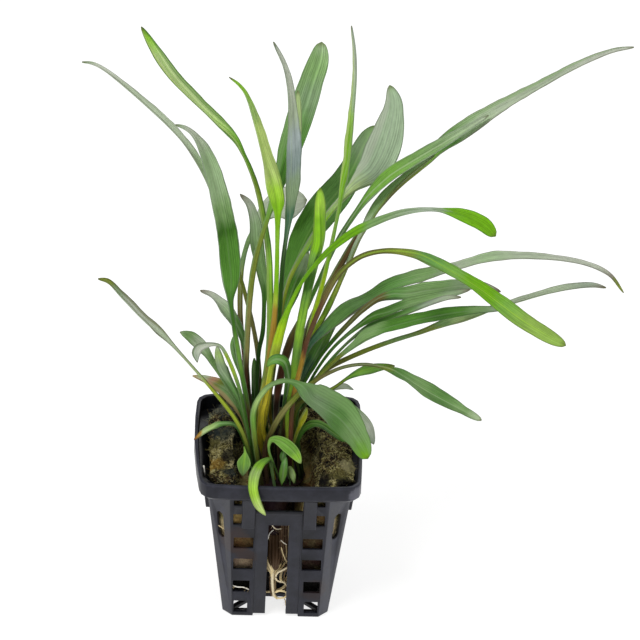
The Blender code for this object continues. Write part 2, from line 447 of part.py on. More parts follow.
def rim_ring(z, inset=0.0):
    """The rim's outline: a square with round corners whose sides bow out, the left one the most."""
    half, radius = RIM_HALF - inset, RIM_CORNER - inset * 0.6
    side = [(0, -half - RIM_BOW), ((half - radius) * 0.6, -half - RIM_BOW * 0.6)]
    middle = half - radius
    for step in range(4):
        angle = math.radians(-90 + 30 * step)
        side.append((middle + radius * math.cos(angle), -middle + radius * math.sin(angle)))
    side.append((half + RIM_BOW * 0.6, -(half - radius) * 0.6))
    ring = []
    for turn in range(4):
        c, s = math.cos(turn * math.pi / 2), math.sin(turn * math.pi / 2)
        ring += [(x * c - y * s, x * s + y * c, z) for x, y in side]
    return [(x - rim_bulge(x, y), y, z) for x, y, z in ring]


def rim_bulge(x, y):
    """How far the rim's left side bows out, most of all a little behind its middle."""
    return RIM_BULGE * max(0.0, -x / RIM_HALF) * max(0.0, 1 - ((y - 6.0) / 30.0) ** 2)


def block(x0, x1, y0, y1, z0, z1):
    ring = [(x0, y0), (x1, y0), (x1, y1), (x0, y1)]
    return loft([[(x, y, z0) for x, y in ring], [(x, y, z1) for x, y in ring]])


def turned(part, angle):
    points, faces = part
    c, s = math.cos(angle), math.sin(angle)
    return [(x * c - y * s, x * s + y * c, z) for x, y, z in points], faces


def side_openings():
    """Every hole of one face, cut from a box that passes through the front wall."""
    boxes = [block(-SLOT_HALF, SLOT_HALF, -30, -13.9, -2, SLOT_TOP)]
    boxes.append(block(TOP_SLOT[0], TOP_SLOT[1], -30, -18, TOP_SLOT[2], TOP_SLOT[3]))
    for near, far, low, high in SIDE_HOLES:
        for side in (-1, 1):
            inner = -body_half(low) + WALL * 2.2
            boxes.append(block(*sorted((side * near, side * far)), -30, inner, low, high))
    return boxes


def corner_opening():
    """The upright slot with round ends in a bevelled corner."""
    half, low, high = CORNER_SLOT
    outline = []
    for step in range(5):
        angle = math.pi * step / 4
        outline.append((half * math.cos(angle), high - half + half * math.sin(angle)))
    for step in range(5):
        angle = math.pi + math.pi * step / 4
        outline.append((half * math.cos(angle), low + half + half * math.sin(angle)))
    return loft([[(x, -36, z) for x, z in outline], [(x, -22.5, z) for x, z in outline]])


def floor_opening():
    """The open area of the floor between two diagonal ribs, on the front side."""
    reach = BODY_FOOT_HALF - FLOOR_RING
    outer = reach - RIB_HALF * math.sqrt(2)
    inner_y = -HUB - 0.9
    inner = -inner_y - RIB_HALF * math.sqrt(2)
    ring = [(-outer, -reach), (outer, -reach), (inner, inner_y), (-inner, inner_y)]
    return loft([[(x, y, -1.0) for x, y in ring], [(x, y, FLOOR + 0.6) for x, y in ring]])


def side_bars():
    """Two upright plates under the rim that stand proud of the face."""
    near, far, low, proud = BAR
    parts = []
    for side in (-1, 1):
        x0, x1 = sorted((side * near, side * far))
        rings = []
        for z in (low, BODY_TOP - 0.2):
            y = -body_half(z)
            rings.append([(x0, y - proud, z), (x1, y - proud, z), (x1, y + 0.5, z), (x0, y + 0.5, z)])
        parts.append(loft(rings))
    return parts


def panel_recess():
    """The shallow recess of the middle panel, with its foot a little higher than the corners."""
    outer = 3.0
    rings = []
    for z in (-1.0, 46.0):
        y = -body_half(z) + PANEL_DEEP
        rings.append([(-PANEL_HALF, y - outer, z), (PANEL_HALF, y - outer, z),
                      (PANEL_HALF, y, z), (-PANEL_HALF, y, z)])
    foot = block(-PANEL_HALF, PANEL_HALF, -20, -13.6, -1.0, 0.7)
    return loft(rings), foot


def all_sides(parts):
    return [turned(part, turn * math.pi / 2) for part in parts for turn in range(4)]


def add_pot(material):
    body = loft([body_ring(0), body_ring(BODY_TOP)])
    pot = add_object("pot", *body, material)
    rim = add_object("rim_band", *loft([rim_ring(POT_HEIGHT - RIM_TALL, 1.3),
                                        rim_ring(POT_HEIGHT - RIM_TALL + 1.4),
                                        rim_ring(POT_HEIGHT)]))
    cut(pot, rim, "UNION")
    for number, bar in enumerate(all_sides(side_bars())):
        cut(pot, add_object(f"bar_{number}", *bar), "UNION")
    hollow_rings = [body_ring(FLOOR, WALL), body_ring(BODY_TOP + 1.0, WALL)]
    cut(pot, add_object("hollow", *loft(hollow_rings)))
    cut(pot, add_object("rim_hollow", *loft([rim_ring(BODY_TOP, RIM_WALL), rim_ring(POT_HEIGHT + 2, RIM_WALL)])))
    recess, foot = panel_recess()
    cut(pot, add_object("panels", *join_parts(all_sides([recess]))))
    cut(pot, add_object("panel_feet", *join_parts(all_sides([foot]))))
    holes = all_sides(side_openings())
    holes += [turned(corner_opening(), math.radians(45 + 90 * turn)) for turn in range(4)]
    cut(pot, add_object("wall_openings", *join_parts(holes)))
    cut(pot, add_object("floor_openings", *join_parts(all_sides([floor_opening()]))))
    apply_modifiers(pot)
    return pot


def remove_tools():
    for thing in list(bpy.data.objects):
        if thing.hide_render:
            bpy.data.objects.remove(thing, do_unlink=True)


def add_wool(material):
    """The plug that fills the pot up to its rim: lumpy on top, open at the front where the plant stands."""
    levels = (WOOL_FOOT, 22.0, 36.0, 47.0, BODY_TOP + 0.45, BODY_TOP + 0.9, WOOL_TOP - 0.6)
    shrinks = (1.6, 0.5, 0.0, 0.0, 0.1, -1.5, -1.2)
    rings = []
    for z, shrink in zip(levels, shrinks):
        ring = body_ring(z, WALL + GAP + shrink)
        fine = []
        for i, corner in enumerate(ring):
            after = ring[(i + 1) % len(ring)]
            steps = 3 if i % 2 else 2
            for step in range(steps):
                part = step / steps
                fine.append(tuple(a + (b - a) * part for a, b in zip(corner, after)))
        rings.append(fine)
    for factor, lift in ((0.86, 0.6), (0.68, 0.9), (0.42, 1.0)):
        rings.append([(x * factor, y * factor, WOOL_TOP + lift) for x, y, z in rings[6]])
    points, faces = loft(rings)
    moved = []
    for x, y, z in points:
        lump = noise.noise(Vector((x, y, z)) * 0.16)
        inward = 1 - 0.024 * (lump + 0.6) if z < WOOL_TOP else 1
        rise = 0.0
        if z > BODY_TOP + 1.5:
            back_left = min(1.0, max(0.0, 1 - math.hypot(x + 24.0, y - 24.0) / 19.0))
            rise = 1.7 * lump + 1.2 * min(1.0, max(0.0, (y - x) / 46.0)) + 3.0 * back_left
        if z > BODY_TOP + 0.6 and x > 0:
            inward *= 1.035
        moved.append((x * inward, y * inward, z + rise))
    wool = add_object("wool", moved, faces, material)
    notch_rings = []
    for z, wider, deeper in ((44.6, 0.0, 0.0), (66.0, NOTCH_WIDER, 11.5)):
        ring = []
        for step in range(9):
            angle = math.pi * step / 8
            x = CROWN_MIDDLE[0] - 0.3 + (CROWN_HALF[0] + 1.5 + wider) * math.cos(angle)
            y = CROWN_MIDDLE[1] + 2.4 + (CROWN_HALF[1] + 3.1 + deeper) * math.sin(angle)
            ring.append((x, y, z))
        ring += [(ring[-1][0], -30.0, z), (ring[0][0], -30.0, z)]
        notch_rings.append(ring)
    cut(wool, add_object("notch", *loft(notch_rings)))
    throat = []
    for z in (0.0, 46.0):
        wide = 5.0 + z * 0.075
        back = -0.6 + z * 0.06
        throat.append([(-wide - 0.8, -30, z), (wide - 0.4, -30, z), (wide - 0.4, -5.0, z),
                       (wide * 0.55, back, z), (-wide * 0.55 - 0.8, back, z), (-wide - 0.8, -5.0, z)])
    cut(wool, add_object("throat", *loft(throat)))
    apply_modifiers(wool)
    return wool


def add_crown(material):
    """The short rootstock: broad under the leaves, then a bent stub between the halves of the wool."""
    middle_x, middle_y = CROWN_MIDDLE
    half_x, half_y = CROWN_HALF
    stations = (
        (middle_x, middle_y, CROWN_TOP, half_x - 0.6, half_y - 0.6),
        (middle_x, middle_y, CROWN_TOP - 0.8, half_x, half_y),
        (-0.8, -4.4, CROWN_TOP - 1.3, 5.2, 3.9),
        (-0.8, -6.4, 40.0, 4.2, 3.4),
        (-0.9, -9.2, 32.0, 3.0, 2.8),
        (-0.9, -11.2, 26.0, 2.5, 2.4),
        (-0.8, -12.0, 22.0, 1.7, 1.6),
    )
    rings = []
    for x, y, z, wide, deep in stations:
        ring = []
        for step in range(12):
            angle = 2 * math.pi * step / 12
            lump = 1 + 0.10 * noise.noise(Vector((math.cos(angle) * 1.7, math.sin(angle) * 1.7, z * 0.11)))
            if z >= CROWN_TOP - 1.4:
                lump = 1.0
            ring.append((x + wide * lump * math.cos(angle), y + deep * lump * math.sin(angle), z))
        rings.append(ring)
    return add_object("crown", *loft(rings), material)


def smooth_line(points, count, ease=0.5):
    """Evenly spaced points on a smooth curve through the given ones, in any number of dimensions.

    Spacing is even in the first three dimensions."""
    p = np.array(points, float)
    p = np.vstack([2 * p[0] - p[1], p, 2 * p[-1] - p[-2]])
    knots = np.concatenate([[0], np.cumsum(np.linalg.norm(np.diff(p[:, :3], axis=0), axis=1) ** ease + 1e-9)])
    fine = []
    for i in range(1, len(p) - 2):
        t0, t1, t2, t3 = knots[i - 1:i + 3]
        for t in np.linspace(t1, t2, 13)[:-1]:
            a1 = (t1 - t) / (t1 - t0) * p[i - 1] + (t - t0) / (t1 - t0) * p[i]
            a2 = (t2 - t) / (t2 - t1) * p[i] + (t - t1) / (t2 - t1) * p[i + 1]
            a3 = (t3 - t) / (t3 - t2) * p[i + 1] + (t - t2) / (t3 - t2) * p[i + 2]
            b1 = (t2 - t) / (t2 - t0) * a1 + (t - t0) / (t2 - t0) * a2
            b2 = (t3 - t) / (t3 - t1) * a2 + (t - t1) / (t3 - t1) * a3
            fine.append((t2 - t) / (t2 - t1) * b1 + (t - t1) / (t2 - t1) * b2)
    fine.append(p[-2])
    fine = np.array(fine)
    along = np.concatenate([[0], np.cumsum(np.linalg.norm(np.diff(fine[:, :3], axis=0), axis=1))])
    wanted = np.linspace(0, along[-1], count)
    return np.stack([np.interp(wanted, along, fine[:, k]) for k in range(fine.shape[1])], axis=1)


def tipped(across, back, z):
    """Across, up and away in the picture of a point that lies so far across, back and high (mm)."""
    up = z * math.cos(ELEVATION) + back * math.sin(ELEVATION)
    away = back * math.cos(ELEVATION) - z * math.sin(ELEVATION)
    return across, up, away


def seen_place(x, y, z):
    """Where a point of the pot's frame lies across, up and away in the picture (mm)."""
    c, s = math.cos(AZIMUTH), math.sin(AZIMUTH)
    return tipped(x * c + y * s, y * c - x * s, z)


def pixel_place(px, py, back):
    """Across, up and away of what a pixel shows at a depth back behind the pot's axis."""
    right = (px - FOOT_PIXEL[0]) / PIXELS_PER_MM
    rise = (FOOT_PIXEL[1] - py) / PIXELS_PER_MM
    foot_across, foot_up, _ = seen_place(0, -FOOT_SEEN, 0)
    across = right * math.cos(ROLL) - rise * math.sin(ROLL) + foot_across
    up = right * math.sin(ROLL) + rise * math.cos(ROLL) + foot_up
    return tipped(across, back, (up - back * math.sin(ELEVATION)) / math.cos(ELEVATION))


def blade_shape(part):
    """Width of a lance-shaped blade from its start (0) to its tip (1), as a share of its widest."""
    part = np.clip(part, 0, 1)
    return np.sin(np.pi * part ** 0.72) ** 0.7


def smooth_rows(values, times):
    for _ in range(times):
        padded = np.concatenate([values[:1], values, values[-1:]])
        values = (padded[:-2] + 2 * padded[1:-1] + padded[2:]) / 4
    return values


def stalk_at_root(leaf):
    return min(leaf["line"][0][2] * 0.85 / PIXELS_PER_MM, ROOT_THICK)


def leaf_length(rows):
    return np.linalg.norm(np.diff(to_space(rows), axis=0), axis=1).sum()


def trace_leaf(leaf, roots, count):
    """Rows of across, up, away, seen width, real width (mm), share of the blade and lean (radians).

    The lean is how far the blade is turned out of the picture's plane; it makes up for the width that
    the picture doesn't show."""
    root = seen_place(*roots, CROWN_TOP + GAP)
    above = seen_place(*roots, CROWN_TOP + GAP + 1.2)
    line = leaf["line"]
    flat = [root[:2]] + [pixel_place(*point[:2], 0.0)[:2] for point in line]
    steps = [0.0] + [math.dist(a, b) for a, b in zip(flat, flat[1:])]
    share = np.cumsum(steps) / sum(steps)
    known = [roots[1], *leaf["deep"][1:]]
    deep = np.interp(share, np.linspace(0, 1, len(known)), known)
    rows = [(*root, stalk_at_root(leaf), 0.0), (*above, stalk_at_root(leaf), 0.0)]
    start = share[leaf["blade"] + 1]
    for (px, py, wide, *own), y, part in zip(line, deep[1:], share[1:]):
        rows.append((*pixel_place(px, py, own[0] if own else y), wide / PIXELS_PER_MM, part))
    rows = smooth_line(rows, count)
    seen = np.maximum(rows[:, 3], 0.3)
    blade = np.clip((rows[:, 4] - start) / (1 - start), 0, 1)
    real = np.maximum(leaf["wide"] * blade_shape(blade), seen)
    lean = np.where(blade > 0, np.arccos(np.clip(seen / real, 0.25, 1)), 0)
    if leaf.get("hang"):
        lean = lean * 0
    lean = smooth_rows(lean, count // 5)
    return np.column_stack([rows[:, :3], seen, seen / np.cos(lean), blade, lean])


def spread_roots():
    """Each leaf's root on the crown: front leaves in front, moved apart until their stalks have room."""
    names = list(LEAVES)
    rank = np.linspace(-1, 1, len(names))
    limit = np.array(CROWN_HALF) - 1.25
    roots = np.array([LEAVES[n]["root"] for n in names], float)
    roots[:, 1] = roots[:, 1] * 0.35 + (CROWN_MIDDLE[1] + rank * limit[1]) * 0.65
    radius = np.array([stalk_at_root(LEAVES[n]) / 2 for n in names])
    for _ in range(600):
        gap = roots[:, None] - roots[None]
        far = np.linalg.norm(gap, axis=2) + np.eye(len(names)) * 99
        lack = np.maximum(radius[:, None] + radius[None] + 0.55 - far, 0)
        push = (gap / far[..., None] * lack[..., None]).sum(axis=1) * (0.3, 0.12)
        roots += push
        off = (roots - CROWN_MIDDLE) / limit
        out = np.maximum(np.linalg.norm(off, axis=1), 1)
        roots = CROWN_MIDDLE + off / out[:, None] * limit
    return dict(zip(names, roots))


def wave_basis(count, knots):
    """Rows by knots: smooth weights that add up to one, and leave the first row where it is."""
    place = np.linspace(0, knots, count)[:, None]
    basis = 0.5 * (1 + np.cos(np.pi * np.clip(np.abs(place - np.arange(knots + 1)), 0, 1)))
    return basis[:, 1:]


def part_leaves(traced):
    """Moves leaves towards or away from the viewer until those in front stay clear of those behind.

    The picture of the plant stays the same, and the roots on the crown stay where they are."""
    names = list(traced)
    count = len(traced[names[0]])
    order = np.repeat(np.arange(len(names)), count)
    rows = np.vstack([traced[n] for n in names])
    stalk = np.clip(1 - rows[:, 5] * 6, 0, 1)
    solid = (rows[:, 4] * stalk + BLADE_THICK * 1.2 * (1 - stalk)) / 2
    reach = solid + rows[:, 4] / 2 * np.sin(rows[:, 6]) * 0.85 * (1 - stalk)
    half_seen = rows[:, 3] / 2
    near, far, beside = [], [], []
    for k in range(len(rows)):
        gap = np.hypot(rows[:, 0] - rows[k, 0], rows[:, 1] - rows[k, 1])
        span = half_seen + half_seen[k] + LEAF_GAP
        hit = np.nonzero((order > order[k]) & (gap < span))[0]
        near += [k] * len(hit)
        far += list(hit)
        beside += list(gap[hit] / span[hit])
    near, far, beside = np.array(near), np.array(far), np.array(beside)
    round_pair = np.minimum(stalk[near], stalk[far])
    wanted = (reach[near] + reach[far] + LEAF_GAP) * np.sqrt(1 - round_pair * beside ** 2)
    away = rows[:, 2].copy()
    bases = [wave_basis(count, max(3, round(leaf_length(traced[n]) / KNOT_EVERY))) for n in names]
    settled = [len(LEAVES[n]["line"][0]) > 3 for n in names]
    for turn in range(300):
        lack = np.maximum(wanted - (away[far] - away[near]), 0)
        push, pull = np.zeros(len(rows)), np.zeros(len(rows))
        np.maximum.at(push, far, lack)
        np.maximum.at(pull, near, lack)
        shift = push - pull
        for k, basis in enumerate(bases):
            if settled[k]:
                continue
            part = slice(k * count, (k + 1) * count)
            weighted = basis * shift[part, None]
            strongest = np.take_along_axis(weighted, np.abs(weighted).argmax(axis=0)[None], axis=0)[0]
            away[part] += basis @ strongest * 0.4
        moved = np.clip(away - rows[:, 2], -MOST_MOVED, MOST_MOVED)
        away = rows[:, 2] + moved
    parted = {}
    for k, name in enumerate(names):
        parted[name] = traced[name].copy()
        parted[name][:, 2] = away[k * count:(k + 1) * count]
    return parted


def to_space(rows):
    """Points in the pot's frame from across, up and away."""
    c, s = math.cos(ELEVATION), math.sin(ELEVATION)
    across, back, z = rows[:, 0], rows[:, 1] * s + rows[:, 2] * c, rows[:, 1] * c - rows[:, 2] * s
    c, s = math.cos(AZIMUTH), math.sin(AZIMUTH)
    return np.column_stack([across * c - back * s, across * s + back * c, z])


def unit(vectors):
    return vectors / np.maximum(np.linalg.norm(vectors, axis=-1, keepdims=True), 1e-9)


def carried_sides(along, first, start):
    """A sideways direction carried along a line from one row to both ends without twisting."""
    sides = np.zeros_like(along)
    sides[start] = unit(first)
    for step, stop in ((1, len(along)), (-1, -1)):
        side = sides[start]
        for i in range(start + step, stop, step):
            side = unit(side - along[i] * side.dot(along[i]))
            sides[i] = side
    return sides


def leaf_frames(rows, hang):
    """Centre, sideways and upper-face directions at each row.

    A blade turns to whichever side lies more level. A hanging leaf bends over without twisting."""
    centre = to_space(rows)
    along = unit(np.gradient(centre, axis=0))
    level = math.cos(ELEVATION)
    view = np.array((-math.sin(AZIMUTH) * level, math.cos(AZIMUTH) * level, -math.sin(ELEVATION)))
    across = unit(np.cross(view, along))
    blade = rows[:, 5] > 0
    if hang:
        widest = int(np.argmax(rows[:, 3]))
        sideways = carried_sides(along, across[widest], widest)
    else:
        deep = unit(np.cross(along, across))
        lean = rows[:, 6][:, None]
        tries = [unit(across * np.cos(lean) + deep * np.sin(lean) * sign) for sign in (1, -1)]
        tilt = [np.abs(side[blade, 2]).sum() for side in tries]
        sideways = tries[0] if tilt[0] <= tilt[1] else tries[1]
    upper = unit(np.cross(sideways, along))
    inward = unit(np.array((0, 0, 1.0)) - centre * (0.004, 0.004, 0))
    if (upper[blade] * inward[blade]).sum() < 0:
        upper = -upper
    return centre, sideways, upper


def chosen_rows(values, count):
    """The rows that keep a line's shape best when only some of them are used."""
    keep = [0, len(values) - 1]
    while len(keep) < count:
        worst, pick = -1.0, None
        for a, b in zip(keep, keep[1:]):
            if b - a < 4:
                continue
            part = (np.arange(a + 2, b - 1) - a)[:, None] / (b - a)
            error = np.linalg.norm(values[a + 2:b - 1] - (values[a] + (values[b] - values[a]) * part), axis=1)
            if error.max() > worst:
                worst, pick = error.max(), a + 2 + int(error.argmax())
        if pick is None:
            break
        keep = sorted(keep + [pick])
    return keep


def leaf_solid(rows, leaf, count):
    """A six-sided stalk that widens into a thin folded blade, closed at both ends."""
    centre, sideways, upper = leaf_frames(rows, leaf.get("hang"))
    half = np.maximum(rows[:, 4] / 2, 0.12)
    shape = np.column_stack([centre, half, rows[:, 6] * half * 0.5])
    rings = []
    for i in chosen_rows(shape, count):
        wide = half[i]
        blade = min(1.0, rows[i, 5] * 6)
        high = wide * 0.87
        high += (min(BLADE_THICK / 2, high) - high) * blade
        lift = wide * math.tan(math.radians(leaf["fold"])) * blade
        low = -lift * 0.7
        profile = ((-1, 0), (-0.5, low + high), (0.5, low + high), (1, 0), (0.5, low - high), (-0.5, low - high))
        rings.append([tuple(centre[i] + sideways[i] * wide * x + upper[i] * y) for x, y in profile])
    return leaf_skin(rings)


def leaf_skin(rings):
    """The skin over the rings, with the same diagonals above and below so that it stays evenly thick."""
    points = [p for ring in rings for p in ring]
    faces = [(5, 4, 3, 2, 1, 0), tuple(range(len(points) - 6, len(points)))]
    for row in range(0, len(points) - 6, 6):
        for i, j in ((0, 1), (1, 2), (2, 3)):
            faces += [(row + i, row + j, row + j + 6), (row + i, row + j + 6, row + i + 6)]
        for i, j in ((0, 5), (5, 4), (4, 3)):
            faces += [(row + i, row + j + 6, row + j), (row + i, row + i + 6, row + j + 6)]
    return points, faces


def leaf_material_name(name):
    if name in ("leaf_bright_lime", "leaf_bright_tip", "leaf_furled", "leaf_over_rim", "leaf_top_left"):
        return "leaf_lime"
    if "grey" in name or "pale" in name:
        return "leaf_grey_green"
    return "leaf_green"


def add_leaves(materials):
    roots = spread_roots()
    traced = {name: trace_leaf(leaf, roots[name], 90) for name, leaf in LEAVES.items()}
    for name, rows in part_leaves(traced).items():
        length = leaf_length(rows)
        count = 18 if length > LONG_LEAF else 13 if length > MIDDLE_LEAF else 9
        points, faces = leaf_solid(rows, LEAVES[name], count)
        leaf = add_object(name, points, faces, materials[leaf_material_name(name)])
        leaf.data.shade_smooth()
        leaf.data.set_sharp_from_angle(angle=math.radians(60))


def add_roots(material):
    for name, root in ROOTS.items():
        line = smooth_line(root["line"], 9 if len(root["line"]) < 8 else 14)
        along = unit(np.gradient(line, axis=0))
        rings = []
        side = np.array((1.0, 0.0, 0.0))
        for i, (p, t) in enumerate(zip(line, along)):
            side = unit(side - t * side.dot(t))
            other = np.cross(t, side)
            share = i / (len(line) - 1)
            half = (root["thick"][0] * (1 - share) + root["thick"][1] * share) / 2
            rings.append([tuple(p + (side * math.cos(a) + other * math.sin(a)) * half)
                          for a in np.linspace(0, 2 * math.pi, 6, endpoint=False)])
        root_object = add_object(name, *loft(rings), material)
        root_object.data.shade_smooth()


def main():
    clear_scene()
    black = plastic_or_tissue("pot_plastic", (0.045, 0.047, 0.055), 0.45)
    moss = plastic_or_tissue("wool_moss", (0.10, 0.075, 0.03), 0.95)
    stock = plastic_or_tissue("crown_brown", (0.05, 0.022, 0.018), 0.7)
    tan = plastic_or_tissue("root_tan", (0.55, 0.36, 0.12), 0.6)
    greens = {
        "leaf_green": plastic_or_tissue("leaf_green", (0.10, 0.24, 0.045), 0.4),
        "leaf_lime": plastic_or_tissue("leaf_lime", (0.27, 0.48, 0.05), 0.4),
        "leaf_grey_green": plastic_or_tissue("leaf_grey_green", (0.26, 0.37, 0.22), 0.45),
    }
    add_pot(black)
    add_wool(moss)
    remove_tools()
    add_crown(stock)
    add_roots(tan)
    add_leaves(greens)


main()
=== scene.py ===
"""The looks of the potted cryptocoryne: fine leaves, the net pot, mossy wool, roots, floor and light."""
import math
import random

import bmesh
import bpy
import numpy as np
from mathutils import Matrix, Vector, noise


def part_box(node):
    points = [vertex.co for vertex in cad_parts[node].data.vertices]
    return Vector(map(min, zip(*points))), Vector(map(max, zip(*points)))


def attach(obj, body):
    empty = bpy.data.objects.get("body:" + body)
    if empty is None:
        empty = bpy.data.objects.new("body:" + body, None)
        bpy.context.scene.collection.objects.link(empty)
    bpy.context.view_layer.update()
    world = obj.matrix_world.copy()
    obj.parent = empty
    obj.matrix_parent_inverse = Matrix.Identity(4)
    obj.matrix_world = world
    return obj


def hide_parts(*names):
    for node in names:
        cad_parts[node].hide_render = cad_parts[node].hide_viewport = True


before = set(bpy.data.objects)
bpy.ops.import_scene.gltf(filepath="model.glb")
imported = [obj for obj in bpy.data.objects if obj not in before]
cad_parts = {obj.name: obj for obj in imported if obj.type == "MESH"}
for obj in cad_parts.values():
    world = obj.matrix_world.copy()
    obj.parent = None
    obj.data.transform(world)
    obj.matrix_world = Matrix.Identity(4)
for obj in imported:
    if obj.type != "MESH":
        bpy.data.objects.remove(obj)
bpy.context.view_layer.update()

MM = 0.001
WELD_GAP = 2e-6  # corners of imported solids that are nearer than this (m) are one

# The photograph's view: its side in pixels, its scale, the camera's lean and distance (mm)
IMAGE_SIDE = 640
PIXELS_PER_MM = 2.98
FOOT_PIXEL = (274.7, 617.7)  # where the middle of the foot's front edge shows
FOOT_HALF = 17.4  # how far that edge is from the pot's axis (mm)
ELEVATION = math.radians(34.5)
AZIMUTH = math.radians(-1.7)
ROLL = math.radians(2.2)
RIGHTWARD = (math.cos(AZIMUTH), math.sin(AZIMUTH), 0.0)
TOWARDS = (math.sin(AZIMUTH) * math.cos(ELEVATION), -math.cos(AZIMUTH) * math.cos(ELEVATION), math.sin(ELEVATION))
CAMERA_FAR = 6000.0
SENSOR = 36.0

# Colours by name
COLOURS = dict(
    lime="A2CE42", bright="7DB518", vivid="6AA414", spring="8FC23C", fresh="76A744", green="65974A", mid="50822E",
    deep="3D6B1E", dark="2A4E17", black_green="16290D", bluish="4C7458", grey_green="8BA27C", grey="98A692",
    silver="A9B8A2", pale="B4C79E", mauve="8C8577", olive="7C8A33", olive_dark="5F6228", olive_brown="6F6636",
    brown="64492F", red_brown="643A29", dark_brown="35231B", yellow="CDBE35", yellow_green="A8BC3A",
    orange="B08A34", tan="BFA163", pink="B98D6C", soft_lime="A6C574", pale_lime="C0D67E", lemon_lime="A8CC1C",
    lemon="D0D02E", orange_red="B4641C", bluish_grey="8C9C98", sage_deep="5F8A46", sage="7C9F62",
    sage_pale="9CB689", sage_grey="ABB99D", light_sage="B6CC8C", mist="B9C0AE", blue_grey="A9B6B4", cream="EBD7A6",
    soft_spring="92B552", moss_grey="7A956B", dusty_green="A5BB9A", stone="7F8672", wet="2C3533", hemp="9A8774",
    khaki="8E8A50", purple="24131A", pot="20212A", pot_light="2C2D37", highlight_grey="8C8C98", black="0C0B0B",
    black_brown="1C1612", wool_brown="5A4629", wool_olive="6B6638", wool_tan="A0965F", rust="8A5C2C",
    straw="BDB488", slate="4B5252", white="E8E4D8",
)


def paint(name):
    """A named colour as the shaders want it."""
    value = COLOURS[name]
    parts = [int(value[i:i + 2], 16) / 255 for i in (0, 2, 4)]
    linear = [p / 12.92 if p <= 0.04045 else ((p + 0.055) / 1.055) ** 2.4 for p in parts]
    return (*linear, 1.0)


class Flow:
    """One value or colour on its way through a finish; sums on values are written as sums."""

    def __init__(self, finish, node, output):
        self.finish, self.node, self.output = finish, node, output

    @property
    def socket(self):
        return self.node.outputs[self.output]

    def other(self, output):
        return Flow(self.finish, self.node, output)

    def sum(self, operation, *values):
        return self.finish.node("ShaderNodeMath", {"operation": operation}, dict(enumerate(values)))

    def __add__(self, value):
        return self.sum("ADD", self, value)

    __radd__ = __add__

    def __sub__(self, value):
        return self.sum("SUBTRACT", self, value)

    def __rsub__(self, value):
        return self.sum("SUBTRACT", value, self)

    def __mul__(self, value):
        return self.sum("MULTIPLY", self, value)

    __rmul__ = __mul__

    def __truediv__(self, value):
        return self.sum("DIVIDE", self, value)

    def __abs__(self):
        return self.sum("ABSOLUTE", self)

    def wave(self):
        return self.sum("SINE", self)


class Finish:
    """A material that is put together from nodes."""

    def __init__(self, name):
        self.material = bpy.data.materials.new(name)
        self.material.use_nodes = True
        self.tree = self.material.node_tree
        self.shader = self.tree.nodes["Principled BSDF"]

    def node(self, kind, settings, values, output=0):
        """A node of a type, its settings first, then the values or links of its sockets."""
        node = self.tree.nodes.new(kind)
        for name, value in settings.items():
            if name == "stops":
                self.set_stops(node.color_ramp, value)
            else:
                setattr(node, name, value)
        for name, value in values.items():
            if isinstance(value, Flow):
                self.tree.links.new(value.socket, node.inputs[name])
            else:
                node.inputs[name].default_value = value
        return Flow(self, node, output)

    @staticmethod
    def set_stops(ramp, stops):
        ramp.interpolation = "EASE"
        while len(ramp.elements) < len(stops):
            ramp.elements.new(1.0)
        while len(ramp.elements) > len(stops):
            ramp.elements.remove(ramp.elements[-1])
        for element, (place, colour) in zip(ramp.elements, stops):
            element.position = place
            element.color = colour

    def feed(self, **values):
        """Sets the shader's sockets: Base_Color=..., Roughness=..."""
        for name, value in values.items():
            socket = self.shader.inputs[name.replace("_", " ")]
            if isinstance(value, Flow):
                self.tree.links.new(value.socket, socket)
            else:
                socket.default_value = value

    def carried(self, name):
        """The three numbers that a piece's points carry under a name."""
        vector = self.node("ShaderNodeAttribute", {"attribute_name": name}, {}, "Vector")
        parts = self.node("ShaderNodeSeparateXYZ", {}, {0: vector})
        return parts, parts.other(1), parts.other(2)

    def place(self):
        """Where a point of the piece is (m)."""
        return self.node("ShaderNodeTexCoord", {}, {}, "Object")

    def height(self, place):
        """How far a place is above the table (m)."""
        return self.node("ShaderNodeSeparateXYZ", {}, {0: place}).other(2)

    def vector(self, x, y, z):
        return self.node("ShaderNodeCombineXYZ", {}, {0: x, 1: y, 2: z})

    def cloud(self, vector, scale, detail=3.0, rough=0.55):
        """Noise round a half."""
        values = {"Vector": vector, "Scale": scale, "Detail": detail, "Roughness": rough}
        return self.node("ShaderNodeTexNoise", {}, values)

    def between(self, value, low, high, smooth=True):
        """0 at low and under, 1 at high and over."""
        settings = {"interpolation_type": "SMOOTHSTEP" if smooth else "LINEAR"}
        return self.node("ShaderNodeMapRange", settings, {"Value": value, "From Min": low, "From Max": high})

    def blend(self, first, second, share):
        """The first colour at share 0, the second at 1."""
        return self.node("ShaderNodeMix", {"data_type": "RGBA"}, {0: share, 6: first, 7: second}, 2)

    def lit(self, colour, value):
        """A colour made lighter or darker by a value."""
        colour = colour if isinstance(colour, Flow) else colour[:3]
        return self.node("ShaderNodeVectorMath", {"operation": "SCALE"}, {0: colour, "Scale": value})

    def raised(self, height, distance, strength):
        """Bumps as high as a distance (m)."""
        values = {"Height": height, "Distance": distance, "Strength": strength}
        return self.node("ShaderNodeBump", {}, values)


def placed(name, data):
    """An object of its own in the scene."""
    thing = bpy.data.objects.new(name, data)
    bpy.context.scene.collection.objects.link(thing)
    return thing


def grown(name, mesh, material, node):
    """Puts a mesh into the scene as a piece of the plant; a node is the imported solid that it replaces."""
    piece = placed(name, mesh)
    mesh.materials.clear()
    mesh.materials.append(material)
    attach(piece, "root")
    if node:
        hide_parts(node)


def skin(name, points, faces, smooth=True):
    """A mesh from points (m) and faces."""
    mesh = bpy.data.meshes.new(name)
    mesh.from_pydata([tuple(p) for p in points], [], faces)
    if smooth:
        mesh.shade_smooth()
    return mesh


